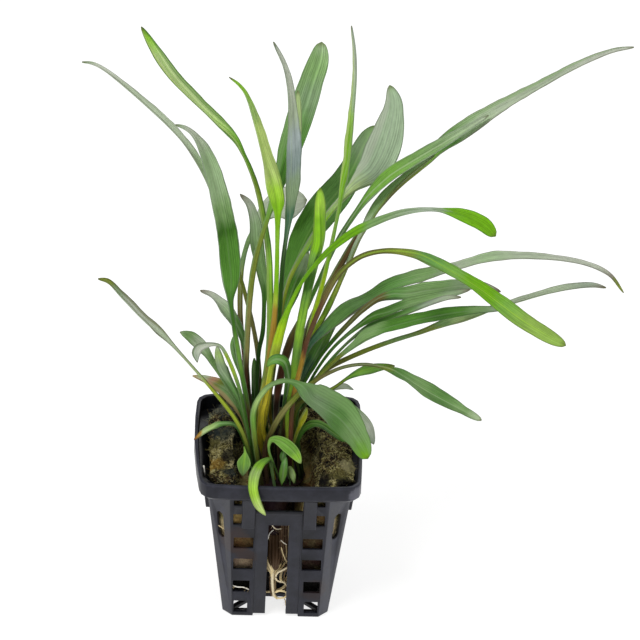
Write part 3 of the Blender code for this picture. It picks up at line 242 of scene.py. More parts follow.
def shaped(mesh, *modifiers):
    """What modifiers, each a kind and its settings, make of a mesh."""
    thing = placed("shaped", mesh)
    for kind, settings in modifiers:
        modifier = thing.modifiers.new(kind, kind)
        for name, value in settings.items():
            setattr(modifier, name, value)
    result = bpy.data.meshes.new_from_object(thing.evaluated_get(bpy.context.evaluated_depsgraph_get()))
    bpy.data.objects.remove(thing)
    result.shade_smooth()
    return result


def carry(mesh, name, values):
    """Gives each point of a mesh three numbers that its finish reads by a name."""
    data = mesh.attributes.new(name, "FLOAT_VECTOR", "POINT").data
    data.foreach_set("vector", np.asarray(values, np.float32).ravel())


def unit(vectors):
    """Vectors made one long."""
    return vectors / np.maximum(np.linalg.norm(vectors, axis=-1, keepdims=True), 1e-9)


def seen_at(across_pixel, down_pixel, back):
    """The place (mm) that a pixel of the photograph shows at a distance behind the pot's axis."""
    right = (across_pixel - FOOT_PIXEL[0]) / PIXELS_PER_MM
    rise = (FOOT_PIXEL[1] - down_pixel) / PIXELS_PER_MM
    c, s = math.cos(AZIMUTH), math.sin(AZIMUTH)
    across = right * math.cos(ROLL) - rise * math.sin(ROLL) - FOOT_HALF * s
    up = right * math.sin(ROLL) + rise * math.cos(ROLL) - FOOT_HALF * c * math.sin(ELEVATION)
    z = (up - back * math.sin(ELEVATION)) / math.cos(ELEVATION)
    return across * c - back * s, across * s + back * c, z


def threads(name, lines, tints, sides=4):
    """Thin round threads along lines of x, y, z and half thickness (mm), closed at both ends."""
    points, faces, marks = [], [], []
    turn = np.linspace(0, 2 * math.pi, sides, endpoint=False)[None, :, None]
    count = 0
    for line, tint in zip(lines, tints):
        along = unit(np.gradient(line[:, :3], axis=0))
        helper = (0, 0, 1.0) if abs(along[:, 2]).mean() < 0.75 else (1.0, 0, 0)
        side = unit(np.cross(along, helper))
        other = np.cross(side, along)
        ring = side[:, None] * np.cos(turn) + other[:, None] * np.sin(turn)
        points.append((line[:, None, :3] + ring * line[:, None, 3:4]).reshape(-1, 3))
        share = np.repeat(np.linspace(0, 1, len(line)), sides)
        marks.append(np.column_stack([np.full(len(share), tint), share, np.full(len(share), (tint * 37.7) % 1)]))
        for row in range(len(line) - 1):
            for i in range(sides):
                a, b = count + row * sides + i, count + row * sides + (i + 1) % sides
                faces.append((a, b, b + sides, a + sides))
        last = count + (len(line) - 1) * sides
        faces.append(tuple(range(count, count + sides))[::-1])
        faces.append(tuple(range(last, last + sides)))
        count += len(line) * sides
    mesh = skin(name, np.vstack(points) * MM, faces)
    carry(mesh, "tint", np.vstack(marks))
    return mesh


# ---- The leaves ----

STATION = 0.9  # between a blade's fine cross-sections (mm)
RING = 6  # corners of a packed leaf's cross-sections
TURN = 6.28  # a full turn, near enough
ROOT_HEIGHT = 0.35  # of a packed leaf's lowest cross-section over the crown's top (mm)
LIT_HIGH, SHADED_LOW = (0.055, 0.16), (0.046, 0.066)  # heights (m) over which leaves get a painted lighter tone, as if more lit, and over which painted shade at their base fades

# Where the points of a fine cross-section lie, as shares of its half width
OUTWARD = (0.1, 0.24, 0.4, 0.58, 0.75, 0.88, 0.97, 1)
ACROSS = (*(-x for x in OUTWARD[::-1]), 0, *OUTWARD)

# Each leaf's look: its colours from root (0) to tip (1), then what sets it apart from the others.
# Left and right are the photograph's.
# One key sets how much painted shade a leaf gets low down near the crown; rim sets how much painted shade falls along
# its margins.
LOOKS = dict(
    over_rim=dict(
        tones="0 deep .2 fresh .38 fresh .5 spring .6 soft_lime .8 lime .93 pale_lime 1 pale_lime", edge="mid",
        rib="spring", ribs=0.35, tip=0, rim=0.4, base_shade=0),
    broad_front=dict(
        tones="0 olive_dark .2 olive .3 fresh .4 soft_lime .5 sage .58 sage_deep .7 moss_grey .82 sage_deep "
        ".9 sage .96 fresh 1 bright", rib="sage_pale", right="sage", edges=0.2, streaks=0.3, blunt=0.9, ends=8,
        rim=0.5),
    front_right=dict(
        tones="0 deep .5 mid .58 fresh .85 fresh .94 spring 1 soft_lime", rib="soft_lime", edge="soft_lime",
        edges=0.5, rim=0.2),
    tiny_drooping=dict(tones="0 deep .6 mid .72 green .85 fresh 1 fresh", base_shade=0.4),
    tiny_pale=dict(tones="0 mid .5 fresh .7 soft_lime 1 soft_lime", edge="spring"),
    tiny_dark=dict(tones="0 dark .6 dark .8 mid .9 green 1 fresh"),
    heart=dict(
        tones="0 fresh .3 fresh .5 dark .6 deep .68 mid .76 fresh .84 fresh 1 sage", edge="soft_lime", ribs=0.4,
        rib="lime", edges=0.5, rim=0.2, base_shade=0.3),
    low_right=dict(
        tones="0 brown .12 brown .19 olive_brown .25 khaki .31 khaki .36 olive .42 olive .48 olive_brown "
        ".56 olive_dark .63 olive_dark .67 olive .71 sage_deep .78 sage .86 sage_deep .95 sage 1 pale", ribs=0.3,
        blunt=0.9, ends=7),
    small_arch=dict(
        tones="0 dark_brown .35 dark_brown .55 dark .72 deep .82 deep .88 mid .93 green 1 fresh",
        sides="0 1 1 .5 1 1 .62 1.4 1.4 .9 1.4 1.4 1 1 1"),
    long_left=dict(
        tones="0 deep .12 mid .2 olive .3 yellow_green .42 yellow_green .5 light_sage .66 sage_grey .78 mist "
        ".85 mist .92 grey_green .96 olive 1 olive", edge="olive_dark", edges=0.4, right="olive_dark"),
    low_left=dict(
        tones="0 deep .48 mid .6 green .7 green .8 soft_lime .88 light_sage .92 orange 1 orange_red", tip=0,
        ends=0.1),
    great_arch=dict(
        tones="0 dark_brown .1 red_brown .18 brown .23 orange .27 orange .3 red_brown .36 brown .42 brown "
        ".47 olive_brown .53 olive_dark .6 olive_dark .655 olive .7 green .76 fresh .79 vivid .83 vivid .87 fresh "
        ".93 soft_spring 1 soft_spring", rib="lime", ribs=0.5, edge="olive_dark", blunt=1, ends=12, rim=0.5),
    bright_tip=dict(
        tones="0 yellow .25 yellow .3 yellow_green .34 yellow_green .39 lemon_lime .43 bright .48 bright .54 vivid "
        ".69 vivid .74 sage .79 grey_green .85 silver .875 grey_green .895 vivid 1 vivid", rib="deep", ribs=0.35,
        edges=0.1, blunt=1, ends=8, base_shade=0.15, rim=0.4,
        sides="0 .7 .7 .19 .65 .6 .25 .55 .5 .3 .55 .45 .33 .85 .85 .4 .8 .75 .43 .65 .6 .47 .5 .5 .52 .5 .5 "
        ".57 .65 .65 .64 .9 .9 .7 1 1 1 1 1"),
    furled=dict(
        tones="0 olive .15 yellow_green .28 spring .36 spring .44 fresh .5 spring .58 spring .63 fresh .66 deep "
        ".7 deep .75 fresh .8 bright .9 bright .96 lime 1 spring", rib="deep", ribs=0.6, edge="lime"),
    dark_low_right=dict(
        tones="0 dark_brown .3 brown .45 olive_dark .7 olive_dark .77 mid .83 fresh .92 fresh 1 olive", rib="lime",
        ribs=0.3),
    yellow_small=dict(tones="0 deep .4 olive .58 yellow_green .75 lemon .9 lemon 1 yellow_green", edge="olive"),
    arch_under_broad=dict(
        tones="0 dark .3 deep .5 mid .64 mid .8 deep 1 mid", rib="soft_lime", ribs=0.3, left="fresh"),
    tall_thin=dict(
        tones="0 red_brown .1 red_brown .16 orange .24 yellow_green .32 yellow_green .38 lemon_lime .44 lemon_lime "
        ".5 bright .76 bright .805 spring .84 sage_pale .93 sage_grey 1 grey", left="pale_lime", edge="grey",
        edges=0.3, sides="0 1 1 .78 1 1 .86 .75 .75 1 .7 .7"),
    left_curled=dict(
        tones="0 deep .3 mid .5 mid .58 fresh .66 lemon_lime .76 lemon_lime .8 sage_pale .86 mist .92 mist "
        "1 silver", right="deep", edge="mauve"),
    left_pale=dict(tones="0 deep .5 mid .68 green .84 grey_green .95 soft_lime 1 pale"),
    broad_left=dict(
        tones="0 dark_brown .12 red_brown .2 brown .27 mid .36 fresh .45 deep .5 deep .56 mid .66 mid .69 deep "
        ".735 sage .8 sage_pale .87 sage_pale .92 sage_grey .965 mist 1 sage", edge="silver", ribs=0.08, edges=0.5,
        streaks=0.6),
    left_green=dict(tones="0 deep .29 mid .55 sage .78 sage .88 sage_grey .95 sage 1 sage_pale", rib="mid"),
    decayed_tip=dict(
        tones="0 deep .33 mid .5 mid .62 sage .7 sage .77 olive .85 pink .93 pale 1 tan", left="pink", edge="tan",
        tip=0, ends=0.1),
    bright_lime=dict(
        tones="0 olive .05 yellow .2 yellow .27 olive .33 orange .42 orange .455 yellow_green .5 bright .56 bright "
        ".6 spring .63 bright .68 bright .715 lime .76 pale_lime .86 pale_lime .9 soft_lime .965 spring "
        ".985 spring 1 olive_dark", rib="bright", ribs=0.3, edge="soft_lime", streaks=0.9,
        sides="0 1 1 .12 1.2 1.2 .22 1.8 1.2 .34 1.9 1.2 .42 1.2 1.1 .5 1.1 1 .58 1 1 .64 1 1.4 .72 1.05 1.2 "
        ".8 1 1 .88 1 .9 .93 .9 .4 1 .9 .3", rim=0.35),
    dark_right=dict(
        tones="0 olive_dark .3 olive .46 olive .5 sage .6 sage .67 mid .73 mid .81 deep .87 mid .92 sage 1 grey",
        rib="grey_green"),
    dark_strip=dict(
        tones="0 deep .5 mid .66 dark .76 deep .82 sage_deep .9 grey .95 sage_grey 1 mauve", edge="mauve"),
    grey_narrow=dict(tones="0 deep .5 mid .68 mid .75 sage_deep .8 sage .86 sage .95 grey_green 1 mauve"),
    olive_far_right=dict(
        tones="0 brown .2 olive_brown .33 olive_dark .42 olive .5 sage .56 olive .6 sage .64 light_sage .7 sage "
        ".76 sage_grey .88 sage_grey .95 grey 1 mauve", edge="olive_dark"),
    green_right=dict(
        tones="0 olive_dark .3 mid .45 deep .52 olive_dark .65 olive_brown .685 green .75 sage .82 sage "
        ".9 grey_green .955 pale .98 mauve 1 brown", edge="grey_green"),
    grey_far_right=dict(
        tones="0 olive .2 fresh .26 mid .31 bluish .36 sage_deep .45 sage_deep .5 green .57 sage .615 grey_green "
        ".64 sage_grey .69 sage_pale .77 sage_grey .85 mist .92 mist .95 mauve .97 olive 1 yellow_green",
        edge="mauve", edges=0.4),
    long_right_green=dict(
        tones="0 dark_brown .16 dark_brown .22 red_brown .27 red_brown .31 brown .36 olive_brown .4 olive .44 mid "
        ".5 deep .58 deep .66 mid .71 fresh .77 fresh .86 sage .93 sage_pale 1 sage_grey", ribs=0.5, edge="silver",
        edges=0.4, streaks=1.1, sides="0 1 1 .14 1.3 1.3 .24 1.5 1.5 .33 1.6 1.5 .38 1.1 1.1 .44 1 1 1 1 1"),
    long_right_grey=dict(
        tones="0 olive .24 orange .32 orange .38 yellow_green .5 spring .56 yellow_green .6 olive .66 grey_green "
        ".72 sage_grey .8 sage .92 sage 1 sage_pale", right="olive", edge="olive_dark"),
    long_right=dict(
        tones="0 dark_brown .1 red_brown .2 red_brown .28 brown .36 olive_brown .45 brown .53 olive_brown "
        ".59 olive .625 fresh .67 green .7 sage_pale .78 sage_grey .875 sage_grey .93 mist 1 mist", left="sage",
        rib="silver", ribs=0.4, edge="mauve", edges=0.45),
    grey_upright=dict(
        tones="0 dark_brown .18 olive_dark .37 deep .52 dark .6 bluish .66 grey_green .72 bluish_grey "
        ".78 blue_grey .83 sage_grey .9 mist .96 mist 1 grey", veins=0.3, streaks=1.2,
        sides="0 1 1 .78 1 1 .84 1 .72 .94 1 .7 1 1 .8"),
    lime_behind=dict(
        tones="0 olive .3 olive .49 deep .6 mid .72 black_green .79 dark .84 fresh .9 light_sage 1 light_sage"),
    green_top=dict(
        tones="0 dark_brown .09 red_brown .2 red_brown .25 brown .3 khaki .38 khaki .45 olive .58 olive .65 fresh "
        ".7 deep .77 mid .82 sage_deep .88 moss_grey .95 sage 1 sage_pale", rib="deep", left="sage", blunt=1,
        ends=14, rim=0.5),
    top_left=dict(
        tones="0 yellow_green .12 yellow_green .18 spring .42 spring .5 fresh .6 olive .68 mid .715 fresh "
        ".75 soft_lime .82 light_sage .93 light_sage .975 spring 1 dark", right="mid", edge="mid", edges=0.8,
        rib="bright", ribs=0.35, left="pale_lime",
        sides="0 1 1 .1 1.4 1.2 .17 2.2 1.2 .4 2.3 1.1 .5 1.8 1 .6 1.3 1 .7 1 1 1 1 1"),
    grey_left=dict(
        tones="0 dark .5 dark .58 deep .64 mid .7 sage .8 sage .88 sage_pale .95 mist 1 mauve", rib="mid"),
    dark_centre=dict(tones="0 black_green .5 dark .8 deep 1 mid"),
    lower_left_inner=dict(tones="0 olive .5 deep .7 mid .9 mid 1 green", left="fresh"),
    left_pointed=dict(
        tones="0 brown .3 brown .5 grey_green .63 green .7 sage_deep .78 sage_deep .84 sage_pale .93 mist 1 mauve",
        edge="grey"),
    far_left=dict(
        tones="0 dark_brown .17 brown .2 olive_brown .27 khaki .38 khaki .43 olive .5 mid .56 green .6 sage_pale "
        ".68 sage_pale .74 sage_grey .88 sage_grey .93 mist .97 mist 1 sage", edge="mauve"),
    pale_far=dict(
        tones="0 dark_brown .3 red_brown .45 red_brown .55 olive_brown .65 olive .72 sage .8 sage .86 sage_grey "
        ".92 mist 1 mist", edges=0.1, streaks=0.3, veins=0.05),
    dark_inner_right=dict(
        tones="0 orange .35 orange .45 olive .55 bluish .62 bluish .68 green .75 green .82 fresh .92 sage "
        "1 grey_green"),
    pale_broad=dict(
        tones="0 olive .24 orange .4 olive .5 yellow_green .56 spring .65 spring .7 soft_lime .74 light_sage "
        ".8 dusty_green .97 dusty_green 1 sage_pale", rib="grey", ribs=0.35, left="mist", edges=0.15, streaks=0.5),
    dark_inner=dict(tones="0 dark .45 dark .66 deep .76 mid .86 mid .95 grey_green 1 pale"),
    dark_broad=dict(
        tones="0 dark .36 dark .45 deep .52 mid .7 mid .76 sage_deep .86 sage_deep .93 moss_grey 1 sage",
        right="green", rib="soft_lime", ribs=0.2, streaks=0.5),
    small_grey_right=dict(
        tones="0 olive_dark .6 olive_dark .76 olive .81 sage_grey .9 mist 1 silver", edge="olive"),
    pale_over_edge=dict(tones="0 dark .45 deep .62 mid .76 green .84 sage_grey .9 mist 1 silver", edge="pale"),
)


def stops(tones):
    """Places and colours from a line of tones."""
    words = tones.split()
    return [(float(place), paint(colour)) for place, colour in zip(words[::2], words[1::2])]


def leaf_rings(node):
    """The six corners of every ring of a packed leaf, from its root to its tip (mm)."""
    low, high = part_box("crown")
    middle, half = (low + high) / 2, (high - low) / 2
    mesh = bmesh.new()
    mesh.from_mesh(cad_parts[node].data)
    bmesh.ops.remove_doubles(mesh, verts=mesh.verts, dist=WELD_GAP)

    def on_crown(v):
        return math.hypot((v.co.x - middle.x) / half.x, (v.co.y - middle.y) / half.y) < 1.1

    lowest = sorted((v for v in mesh.verts if on_crown(v)), key=lambda v: abs(v.co.z - high.z - ROOT_HEIGHT * MM))
    levels = [set(lowest[:RING])]
    seen = set(levels[0])
    while True:
        after = {e.other_vert(v) for v in levels[-1] for e in v.link_edges} - seen
        if not after:
            break
        levels.append(after)
        seen |= after
    if any(len(level) != RING for level in levels):
        raise SystemExit(f"{node}: rings of {[len(level) for level in levels]}")
    rings = [walked_ring(level) for level in levels[1:-1]]
    rings = [angle_ring(levels[0])] + rings + [angle_ring(levels[-1])]
    for k in range(1, len(rings)):
        rings[k] = matched_ring(rings[k - 1], rings[k])
    corners = np.array([[tuple(v.co) for v in ring] for ring in rings]) / MM
    mesh.free()
    return corners


def walked_ring(level):
    """The corners of a ring in the order in which its edges join them."""
    ring = [min(level, key=lambda v: v.index)]
    while len(ring) < RING:
        beside = [e.other_vert(ring[-1]) for e in ring[-1].link_edges]
        ring.append(min((v for v in beside if v in level and v not in ring), key=lambda v: v.index))
    return ring


def angle_ring(level):
    """The corners of a flat end in the order in which they lie round its middle."""
    level = sorted(level, key=lambda v: v.index)
    places = np.array([tuple(v.co) for v in level])
    flat = places - places.mean(axis=0)
    axes = np.linalg.svd(flat)[2]
    turn = np.arctan2(flat @ axes[1], flat @ axes[0])
    return [level[i] for i in np.argsort(turn)]


def matched_ring(before, ring):
    """The ring turned so that its corners continue those of the one before."""
    linked = [{e.other_vert(v) for e in v.link_edges} for v in before]
    tries = [way[k:] + way[:k] for way in (ring, ring[::-1]) for k in range(RING)]
    return max(tries, key=lambda way: sum(v in links for v, links in zip(way, linked)))


def leaf_rows(corners):
    """Middle, sideways and upper directions, half width, half thickness and sag at each ring."""
    span = np.linalg.norm(corners[:, :3] - corners[:, 3:], axis=2)
    first = int(np.unravel_index(span.argmax(), span.shape)[1])
    corners = np.roll(corners, -first, axis=1)
    middle = (corners[:, 0] + corners[:, 3]) / 2
    sideways = unit(corners[:, 3] - corners[:, 0])
    half = np.linalg.norm(corners[:, 3] - corners[:, 0], axis=1) / 2
    top, under = corners[:, 1:3].mean(axis=1), corners[:, 4:6].mean(axis=1)
    upper = unit(top - under)
    thick = np.linalg.norm(top - under, axis=1) / 2
    sag = (((top + under) / 2 - middle) * upper).sum(axis=1)
    if (sag * half).sum() > 0:
        upper, sag = -upper, -sag
    return np.column_stack([middle, sideways, upper, half, thick, sag])


def smooth_rows(rows, step):
    """Rows about one step apart on smooth curves through the given rows; three numbers are the place."""
    rows = np.vstack([2 * rows[0] - rows[1], rows, 2 * rows[-1] - rows[-2]])
    steps = np.linalg.norm(np.diff(rows[:, :3], axis=0), axis=1)
    knots = np.concatenate([[0], np.cumsum(np.sqrt(steps) + 1e-6)])
    fine = []
    for i in range(1, len(rows) - 2):
        t0, t1, t2, t3 = knots[i - 1:i + 3]
        count = max(2, round(steps[i] / step))
        t = t1 + (t2 - t1) * np.arange(count)[:, None] / count
        p0, p1, p2, p3 = rows[i - 1:i + 3]
        a1 = (t1 - t) / (t1 - t0) * p0 + (t - t0) / (t1 - t0) * p1
        a2 = (t2 - t) / (t2 - t1) * p1 + (t - t1) / (t2 - t1) * p2
        a3 = (t3 - t) / (t3 - t2) * p2 + (t - t2) / (t3 - t2) * p3
        b1 = (t2 - t) / (t2 - t0) * a1 + (t - t0) / (t2 - t0) * a2
        b2 = (t3 - t) / (t3 - t1) * a2 + (t - t1) / (t3 - t1) * a3
        fine.append((t2 - t) / (t2 - t1) * b1 + (t - t1) / (t2 - t1) * b2)
    return np.vstack([*fine, rows[-2:-1]])


def fine_leaf(node, look, seed):
    """A leaf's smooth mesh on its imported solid, and which of its faces the photograph shows."""
    chance = random.Random(seed)
    rings = leaf_rows(leaf_rings(node))
    start = rings[0].copy()
    start[:3] -= unit(rings[1, :3] - rings[0, :3]) * 0.5
    rows = smooth_rows(np.vstack([start, rings]), STATION)
    middle, sideways, upper = rows[:, :3], unit(rows[:, 3:6]), rows[:, 6:9]
    upper = unit(upper - sideways * (upper * sideways).sum(axis=1, keepdims=True))
    if (sideways @ np.array(RIGHTWARD) * rows[:, 9] ** 2).sum() < 0:
        sideways = -sideways
    half, thick, sag = np.maximum(rows[:, 9], 0.1), np.maximum(rows[:, 10], 0.06), rows[:, 11]
    along = np.concatenate([[0], np.cumsum(np.linalg.norm(np.diff(middle, axis=0), axis=1))])
    share = along / along[-1]
    # The tip is as wide as a round end of a given length, or partly so.
    tip_long = look.get("ends", 9.0)
    ending = np.clip((along - along[-1] + tip_long) / tip_long, 0, 1)
    rounder = np.interp(along[-1] - tip_long, along, half) * np.sqrt(1 - ending ** 2.4)
    half = half + look.get("blunt", 0.5) * np.maximum(rounder - half, 0) * (ending > 0)
    spread = np.array(look.get("sides", "0 1 1 1 1 1").split(), float).reshape(-1, 3)
    left, right = (np.interp(share, spread[:, 0], spread[:, k])[:, None] for k in (1, 2))
    # A cross-section is flat in the blade and round in the stalk; side is 1 on its upper face.
    blade = np.clip((0.87 - thick / half) / 0.5, 0, 1)
    x = np.array(ACROSS + ACROSS[-2:0:-1], float)
    inner = len(ACROSS) - 2
    side = np.array([0] + [1] * inner + [0] + [-1] * inner, float)
    b, w, h = blade[:, None], half[:, None], thick[:, None]
    level = sag[:, None] * 1.38 * (1 - np.abs(x) ** 1.7)
    body = h * (1 - x ** 2) ** (0.5 - 0.27 * b) * side
    # Waves along the margins, a sunken rib, and a groove in the stalk
    period, lean = chance.uniform(9, 14), chance.uniform(0, TURN)
    waves = np.sin(along[:, None] * TURN / period + lean + (x > 0) * chance.uniform(1.5, 4.5))
    waves += 0.5 * np.sin(along[:, None] * TURN / period * 2.3 + lean * 2 + (x > 0) * 2.1)
    ends = np.sin(np.pi * np.clip(share, 0, 1)[:, None]) ** 0.5
    wavy = 0.03 * np.minimum(w, 4.5) * b * ends * waves * np.abs(x) ** 2.4
    rib = np.exp(-(x * w / 0.45) ** 2) * b * np.clip(w / 1.5, 0, 1)
    rib_height = np.where(side > 0, -0.10, -0.24) * rib
    groove = np.where(side > 0, -0.16 * w, 0) * np.exp(-(x / 0.35) ** 2) * (1 - b)
    width = 1 + 0.018 * np.sin(along[:, None] * 0.9 + lean) * (1 - b) + 0.006 * waves * b
    high = level + body + wavy + rib_height + groove
    across = x * w * width * np.where(x < 0, left, right)
    points = middle[:, None] + sideways[:, None] * across[..., None] + upper[:, None] * high[..., None]
    count = len(x)
    first = np.arange(len(rows) - 1)[:, None] * count + np.arange(count)
    after = np.arange(len(rows) - 1)[:, None] * count + (np.arange(count) + 1) % count
    quads = np.stack([first, after, after + count, first + count], axis=-1).reshape(-1, 4)
    faces = quads.tolist() + [list(range(count))[::-1], list(range(len(rows) * count - count, len(rows) * count))]
    mesh = skin(node, points.reshape(-1, 3) * MM, faces)
    wide = np.broadcast_to(share[:, None], points.shape[:2])
    carry(mesh, "place", np.stack([np.broadcast_to(x, wide.shape), wide, np.broadcast_to(side, wide.shape)], -1))
    far = np.broadcast_to(along[:, None], wide.shape)
    carry(mesh, "real", np.stack([x * w, far, np.full(wide.shape, seed * 7.3)], -1))
    shown = ((upper @ np.array(TOWARDS)) * half * blade).sum()
    return mesh, 1 if shown > 0 else -1


def leaf_finish(name, look, shown):
    """Long streaks and veins over the leaf's own colours, thin margins with painted shade, a painted lighter tone
    higher up, painted shade at the base, and a duller other face.
    """
    f = Finish(name)
    across, share, side = f.carried("place")
    wide, along, seed = f.carried("real")
    tone = f.node("ShaderNodeValToRGB", {"stops": stops(look["tones"])}, {0: share + (f.cloud(
        f.vector(wide * 0.5, along * 0.12, seed), 1.0, 2.0) - 0.5) * 0.06})
    streaks = f.cloud(f.vector(across * 7.0 + wide * 1.2, along * 0.016, seed), 1.0, 5.0, 0.75)
    broad = f.cloud(f.vector(across * 1.3, along * 0.05, seed + 5.0), 1.0, 2.0)
    flecks = f.cloud(f.vector(wide * 0.9, along * 0.35, seed + 9.0), 1.0, 4.0, 0.6)
    blade = f.between(abs(wide), 0.5, 1.6)
    veins = f.between(abs((across * 9.0 + wide * 2.2 + (streaks - 0.5) * 3.0).wave()), 0.5, 0.1)
    lightness = 1.0 + (streaks - 0.5) * look.get("streaks", 1.0) * 2.2 + (broad - 0.5) * 0.6 + (flecks - 0.5) * 0.5
    high = f.height(f.place())
    lightness = lightness * (1.0 - veins * blade * look.get("veins", 0.28))
    # painted light: leaves get lighter higher up, as if more lit there
    lightness = lightness * (0.96 + f.between(high, *LIT_HIGH) * 0.15)
    colour = f.lit(tone, lightness)
    rib = f.between(abs(wide), 0.42, 0.12) * f.between(share, 1.0, 0.9) * f.between(share, 0.45, 0.6)
    colour = f.blend(colour, paint(look.get("rib", "pale")), rib * look.get("ribs", 0.25))
    for half, way in (("left", -1), ("right", 1)):
        if half in look:
            colour = f.blend(colour, paint(look[half]), f.between(across, 0.35 * way, 0.6 * way) * 0.6)
    margin = f.between((1.0 - abs(across)) * abs(wide) / (abs(across) + 0.02), 0.5, 0.12) * (0.45 + blade * 0.55)
    # painted shade along the margins: a darker copy of the leaf's colour
    colour = f.blend(colour, f.lit(colour, 0.35), margin * look.get("rim", 0.75))
    colour = f.blend(colour, paint(look.get("edge", "sage_deep")), margin * look.get("edges", 0.25))
    back = f.between(side * shown, 0.1, -0.1, False)
    dull = f.blend(colour, paint("grey_green"), 0.42)
    colour = f.blend(colour, dull, back * (0.9 if shown > 0 else 0.3))
    spot = f.between(share, 0.985, 1.0) * look.get("tip", 0.6)
    colour = f.blend(colour, paint("olive_dark"), spot)
    height = streaks * 0.55 + flecks * 0.25 + veins * 0.35
    # painted shade: low down near the crown the leaf's colour darkens towards black-brown
    base_shade = look.get("base_shade", 0.7)
    colour = f.blend(paint("black_brown"), colour, f.between(high, *SHADED_LOW) * base_shade + (1.0 - base_shade))
    f.feed(Base_Color=colour, Roughness=0.42 + (flecks - 0.5) * 0.25 + (streaks - 0.5) * 0.12,
           Normal=f.raised(height, 0.00028, 0.8), Specular_IOR_Level=0.12)
    return f.material


def add_leaves():
    """A blade in the place of each packed leaf, each with its own look."""
    names = sorted(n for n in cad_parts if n.startswith("leaf_"))
    for k, node in enumerate(names):
        look = LOOKS[node.removeprefix("leaf_")]
        mesh, shown = fine_leaf(node, look, k + 1)
        material = leaf_finish("finish_" + node, look, shown)
        grown(node.replace("leaf_", "blade_"), mesh, material, node)


# ---- The pot ----

# Heights (m): the foot of the rim, its lip, which gets a painted highlight, and where the walls get a little painted
# shade
RIM_FOOT = 0.0535
LIP_HIGHLIGHT, UPPER_SHADE = (0.0588, 0.0595), (0.036, 0.042)

BEVEL = 0.2  # of edges (mm)
BENT, SHARP = math.radians(28), math.radians(35)  # from where edges get a bevel, and stay sharp

# Stains, and a painted highlight on the front right corner of the rim: x, y, z and size (mm), colour and strength
POT_STAINS_AND_HIGHLIGHT = (
    (-15, -22, 34, 6, "dark_brown", 0.55), (-11, -21.5, 27, 4, "dark_brown", 0.5),
    (13, -20, 12, 5, "dark_brown", 0.35), (25.5, -25.5, 56, 3.5, "highlight_grey", 0.35),
)


def pot_finish():
    """Satin charcoal plastic with a fine uneven skin, with painted highlights on the lip and the chamfered corners
    and painted shade on the inner and upper walls.
    """
    f = Finish("charcoal_plastic")
    place = f.place()
    mottle = f.cloud(place, 130.0, 5.0, 0.7)
    grain = f.cloud(place, 900.0, 3.0, 0.7)
    colour = f.blend(paint("pot"), paint("pot_light"), f.between(mottle, 0.35, 0.7))
    inner, chamfer_highlight = f.carried("where")[:2]
    high = f.height(place)
    # painted light: highlights on the lip and the chamfered corners, shade on the inner walls and a little on the
    # upper walls
    shade = (1.0 + f.between(high, *LIP_HIGHLIGHT) * 0.6) * (1.0 - f.between(high, *UPPER_SHADE) * 0.08)
    shade = shade * (1.0 + chamfer_highlight * 0.9) * (1.0 - inner * 0.8)
    colour = f.lit(colour, (0.35 + grain * 0.44 + mottle * 0.6) * shade)
    for x, y, z, size, tone, share in POT_STAINS_AND_HIGHLIGHT:
        colour = f.blend(colour, paint(tone), near(f, place, (x, y, z), size, mottle) * share)
    f.feed(Base_Color=colour, Roughness=0.40 + (mottle - 0.5) * 0.3 + (grain - 0.5) * 0.15,
           Normal=f.raised(mottle * 0.7 + grain * 0.2, 0.00022, 0.5), Specular_IOR_Level=0.24)
    return f.material


def near(f, place, middle, size, ragged):
    """1 inside a patch round a place (mm), 0 outside, with a ragged border."""
    gap = f.node("ShaderNodeVectorMath", {"operation": "DISTANCE"}, {0: place, 1: [v * MM for v in middle]}, "Value")
    return f.between(gap + (ragged - 0.5) * size * 1.6 * MM, size * 1.1 * MM, size * 0.6 * MM)


def add_pot():
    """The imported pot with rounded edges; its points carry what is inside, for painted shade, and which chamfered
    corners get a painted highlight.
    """
    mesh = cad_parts["pot"].data.copy()
    body = bmesh.new()
    body.from_mesh(mesh)
    bmesh.ops.remove_doubles(body, verts=body.verts, dist=WELD_GAP)
    bmesh.ops.join_triangles(body, faces=body.faces, angle_face_threshold=math.radians(1),
                             angle_shape_threshold=3.1)
    body.to_mesh(mesh)
    body.free()
    mesh = shaped(mesh, ("BEVEL", dict(width=BEVEL * MM, segments=2, limit_method="ANGLE", angle_limit=BENT,
                                       use_clamp_overlap=False)))
    mesh.set_sharp_from_angle(angle=SHARP)
    mesh.update()
    where = []
    for v in mesh.vertices:
        outward = Vector((v.co.x, v.co.y, 0)).normalized().dot(v.normal)
        corner = max(0.0, 1 - abs(abs(v.normal.x) - abs(v.normal.y)) * 2.5) if v.co.z < RIM_FOOT else 0.0
        where.append((1.0 if outward < -0.15 else 0.0, corner * (outward > 0.5), 0.0))
    carry(mesh, "where", where)
    grown("pot_body", mesh, pot_finish(), "pot")


# ---- The wool, the rootstock and the roots ----

# Heights (m): where the wool turns rusty, going down into the pot, and where painted shade turns it black
RUSTY, FOOT_SHADE = (0.052, 0.046), (0.020, 0.016)

# Where moss and fibres grow (m): on the wool above a height, and loose ends in the pot's openings
MOSSY, OPENINGS = 0.0465, (0.018, 0.045)
UNEVEN_FROM, UNEVEN_OVER = 0.050, 0.005  # where the wool gets more uneven, and over how much height (m)
WOOL_FACES, CROWN_FACES = 0.55, 0.45  # (mm)
TUFTS = 4200
FIBRES, TOP_FIBRES = 190, 130
